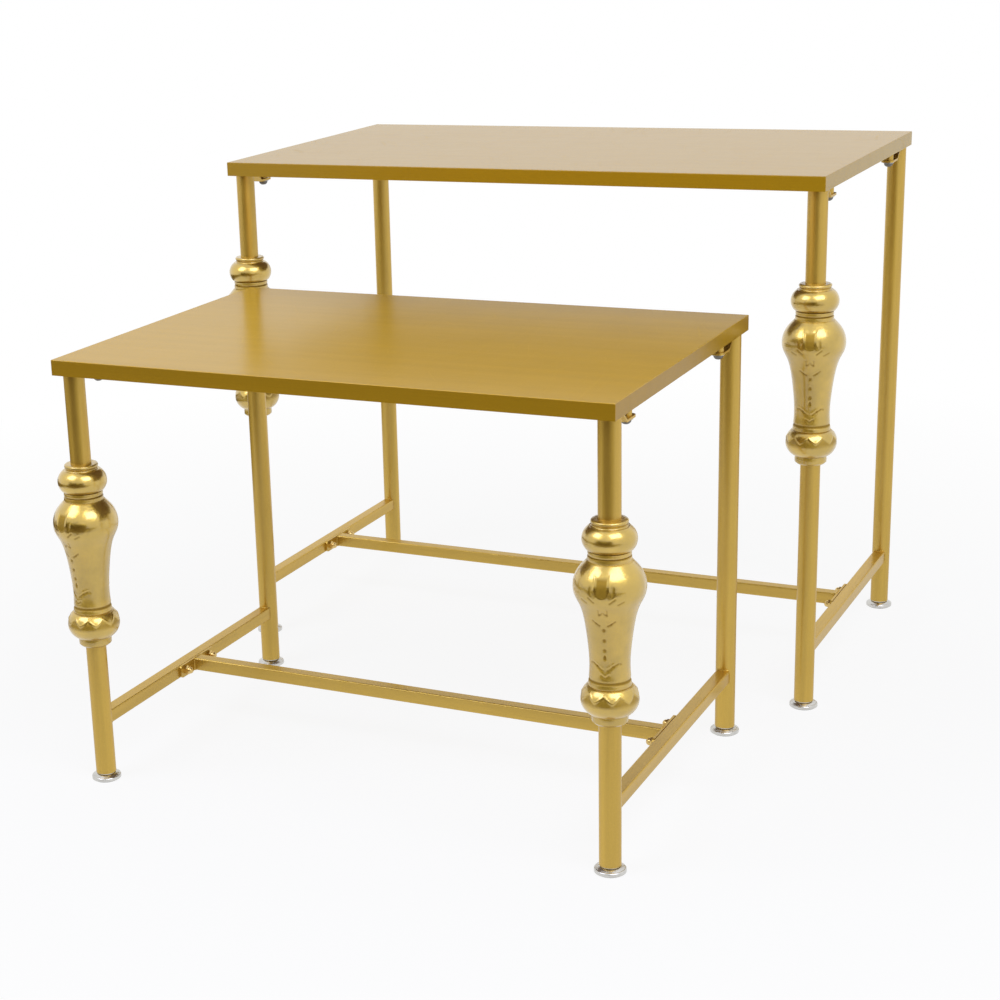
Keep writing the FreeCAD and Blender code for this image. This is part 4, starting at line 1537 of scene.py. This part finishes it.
@dataclass(frozen=True)
class Studio:
    """Pale floor, white air, two soft boxes, and a dark card before the tables that paints dark reflections
    into the metal.

    The card lies on the floor from near to far, stands up at its far end, and has a wing
    that runs back past the tables on the left.
    """

    floor_half: float = 14.0
    floor_colour: Colour = (0.92, 0.92, 0.915)
    floor_roughness: float = 0.85
    floor_gloss: float = 0.2
    floor_white: float = 0.89
    white_range: Pair = (0.7, 2.0)
    air_light: float = 0.36
    # Colour of the painted reflection that the card puts on the metal.
    reflection_card_colour: Colour = (0.18, 0.112, 0.020)
    card_roughness: float = 0.9
    card_half: float = 3.0
    card_near: float = -1.35
    card_far: float = -5.0
    card_lift: float = 0.004
    card_height: float = 1.6
    wing_side: float = -1.35
    wing_end: float = 0.9
    boxes: tuple[SoftBox, ...] = (
        SoftBox("key_box", (2.1, -1.7, 3.3), (0.0, 0.0, 0.45), 2.7, 2.0, 3.5),
        SoftBox("left_box", (-1.7, -2.3, 3.1), (0.0, 0.0, 0.5), 1.9, 1.9, 3.3),
    )

    def background_share(self, nodes: NodeTree) -> Socket:
        """1 for rays that show the background: those of the camera, of gloss and of glass.

        Args:
            nodes: the tree that asks.

        Returns:
            The share's socket.
        """
        path = nodes.add("ShaderNodeLightPath").outputs
        seen = nodes.math("ADD", path["Is Camera Ray"], path["Is Glossy Ray"])
        return nodes.math("ADD", seen, path["Is Transmission Ray"], clamp=True)

    def air(self) -> None:
        """White all round where it is seen, and a softer level where it lights."""
        world = bpy.data.worlds.new("studio_air")
        world.use_nodes = True
        world.node_tree.nodes.clear()
        nodes = NodeTree(world.node_tree)
        lighting, seen = (
            nodes.run("ShaderNodeBackground", {"Color": opaque((1.0, 1.0, 1.0)), "Strength": strength})
            for strength in (self.air_light, 1.0)
        )
        mix = nodes.mix_shaders(self.background_share(nodes), lighting, seen)
        nodes.feed(nodes.add("ShaderNodeOutputWorld"), {"Surface": mix})
        bpy.context.scene.world = world

    def flat(self, bench: Bench, corners: list[Triple], faces: list[tuple[int, ...]]) -> bpy.types.Object:
        """Flat-sided stage piece, named as its material.

        Args:
            bench: holds the material.
            corners: the piece's corners.
            faces: corner numbers of each face.

        Returns:
            The object.
        """
        mesh = bpy.data.meshes.new(bench.made.name)
        mesh.from_pydata(corners, [], faces)
        mesh.materials.append(bench.made)
        piece = new_object(bench.made.name, mesh)
        return piece

    def floor(self) -> None:
        """Pale matt floor that holds the tables' shadow and turns to plain white further out."""
        bench = Bench("studio_floor")
        nodes = bench.nodes
        bench.set(
            Base_Color=opaque(self.floor_colour),
            Roughness=self.floor_roughness,
            Specular_IOR_Level=self.floor_gloss,
        )
        away = nodes.run("ShaderNodeVectorMath", {0: bench.place}, "Value", operation="LENGTH")
        far = nodes.spread(away, self.white_range, (self.floor_white, 1.0))
        share = nodes.math("MULTIPLY", far, self.background_share(nodes))
        glow = nodes.add("ShaderNodeEmission").outputs["Emission"]
        mix = nodes.mix_shaders(share, bench.shader.outputs["BSDF"], glow)
        nodes.feed(bench.output, {"Surface": mix})
        half = self.floor_half
        corners = [(-half, -half, 0.0), (half, -half, 0.0), (half, half, 0.0), (-half, half, 0.0)]
        self.flat(bench, corners, [(0, 1, 2, 3)])

    def card(self) -> None:
        """Painted reflection: a dark brown card on the floor before the tables and up behind the camera, seen
        only in gloss.
        """
        bench = Bench("painted_reflection_card")
        bench.set(Base_Color=opaque(self.reflection_card_colour), Roughness=self.card_roughness)
        half, near, far, lift = self.card_half, self.card_near, self.card_far, self.card_lift
        lying = [(-half, near, lift), (half, near, lift), (half, far, lift), (-half, far, lift)]
        standing = [(half, far, self.card_height), (-half, far, self.card_height)]
        side, end = self.wing_side, self.wing_end
        wing = [(side, near, lift), (side, end, lift), (-half, end, lift)]
        piece = self.flat(bench, lying + standing + wing, [(0, 3, 2, 1), (3, 5, 4, 2), (0, 6, 7, 8)])
        # Painted reflection: hidden from the camera, from diffuse light and from shadows, the card only
        # darkens what the metal reflects.
        piece.visible_camera = False
        piece.visible_diffuse = False
        piece.visible_shadow = False

    def make(self) -> None:
        """Builds the whole studio."""
        self.air()
        self.floor()
        self.card()
        for box in self.boxes:
            box.make()
        bpy.context.scene.view_settings.view_transform = "Standard"
        LOG.info("made the studio")


@dataclass(frozen=True)
class Viewpoint:
    """Where the camera stands and how it is turned.

    Focal length and axis are in the units of frame_size, and angles are in radians.
    """

    place: Triple = (1.11639, -2.57306, 1.11780)
    yaw: float = -0.48850
    pitch: float = 0.30327
    roll: float = -0.04287
    focal: float = 2022.24
    axis_x: float = 344.90
    axis_y: float = 532.50
    frame_size: float = 1000.0
    sensor: float = 36.0
    sight: float = 100.0

    def make(self) -> None:
        """Builds the scene's camera.

        Its line of sight turns from +Y by the yaw and down by the pitch, and the picture
        then turns about that line by the roll.
        """
        yaw, pitch = self.yaw, self.pitch
        level = math.cos(pitch)
        ahead = Vector((math.sin(yaw) * level, math.cos(yaw) * level, -math.sin(pitch)))
        right = Vector((math.cos(yaw), -math.sin(yaw), 0.0))
        up = right.cross(ahead)
        right_rolled = math.cos(self.roll) * right + math.sin(self.roll) * up
        up_rolled = math.cos(self.roll) * up - math.sin(self.roll) * right
        data = bpy.data.cameras.new("view")
        data.sensor_width = self.sensor
        data.lens = self.focal / self.frame_size * self.sensor
        data.shift_x = 0.5 - self.axis_x / self.frame_size
        data.shift_y = self.axis_y / self.frame_size - 0.5
        data.clip_end = self.sight
        camera = new_object("view", data)
        turn = Matrix((right_rolled, up_rolled, -ahead)).transposed().to_4x4()
        camera.matrix_world = Matrix.Translation(self.place) @ turn
        bpy.context.scene.camera = camera


# --- assembly ---

# How far each casting's chasing is turned about its leg.
ORNAMENT_TURNS: dict[tuple[Tier, Corner], float] = {
    (Tier.TALL, Corner.FRONT_LEFT): math.radians(-80.0),
    (Tier.TALL, Corner.FRONT_RIGHT): math.radians(-83.0),
    (Tier.SMALL, Corner.FRONT_LEFT): math.radians(-105.0),
    (Tier.SMALL, Corner.FRONT_RIGHT): math.radians(-83.5),
}


def main() -> None:
    """Builds the camera, the studio and every piece."""
    logging.basicConfig(level=logging.INFO, format="%(name)s: %(message)s")
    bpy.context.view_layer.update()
    Viewpoint().make()
    Studio().make()
    finisher = Finisher()
    finisher.dress_frame()
    for (tier, corner), turned in ORNAMENT_TURNS.items():
        Ornament(tier, corner, turned).make(finisher)
    for tier in Tier:
        WeldBeads(tier).make(finisher)
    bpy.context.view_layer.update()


if __name__ == "__main__":
    main()
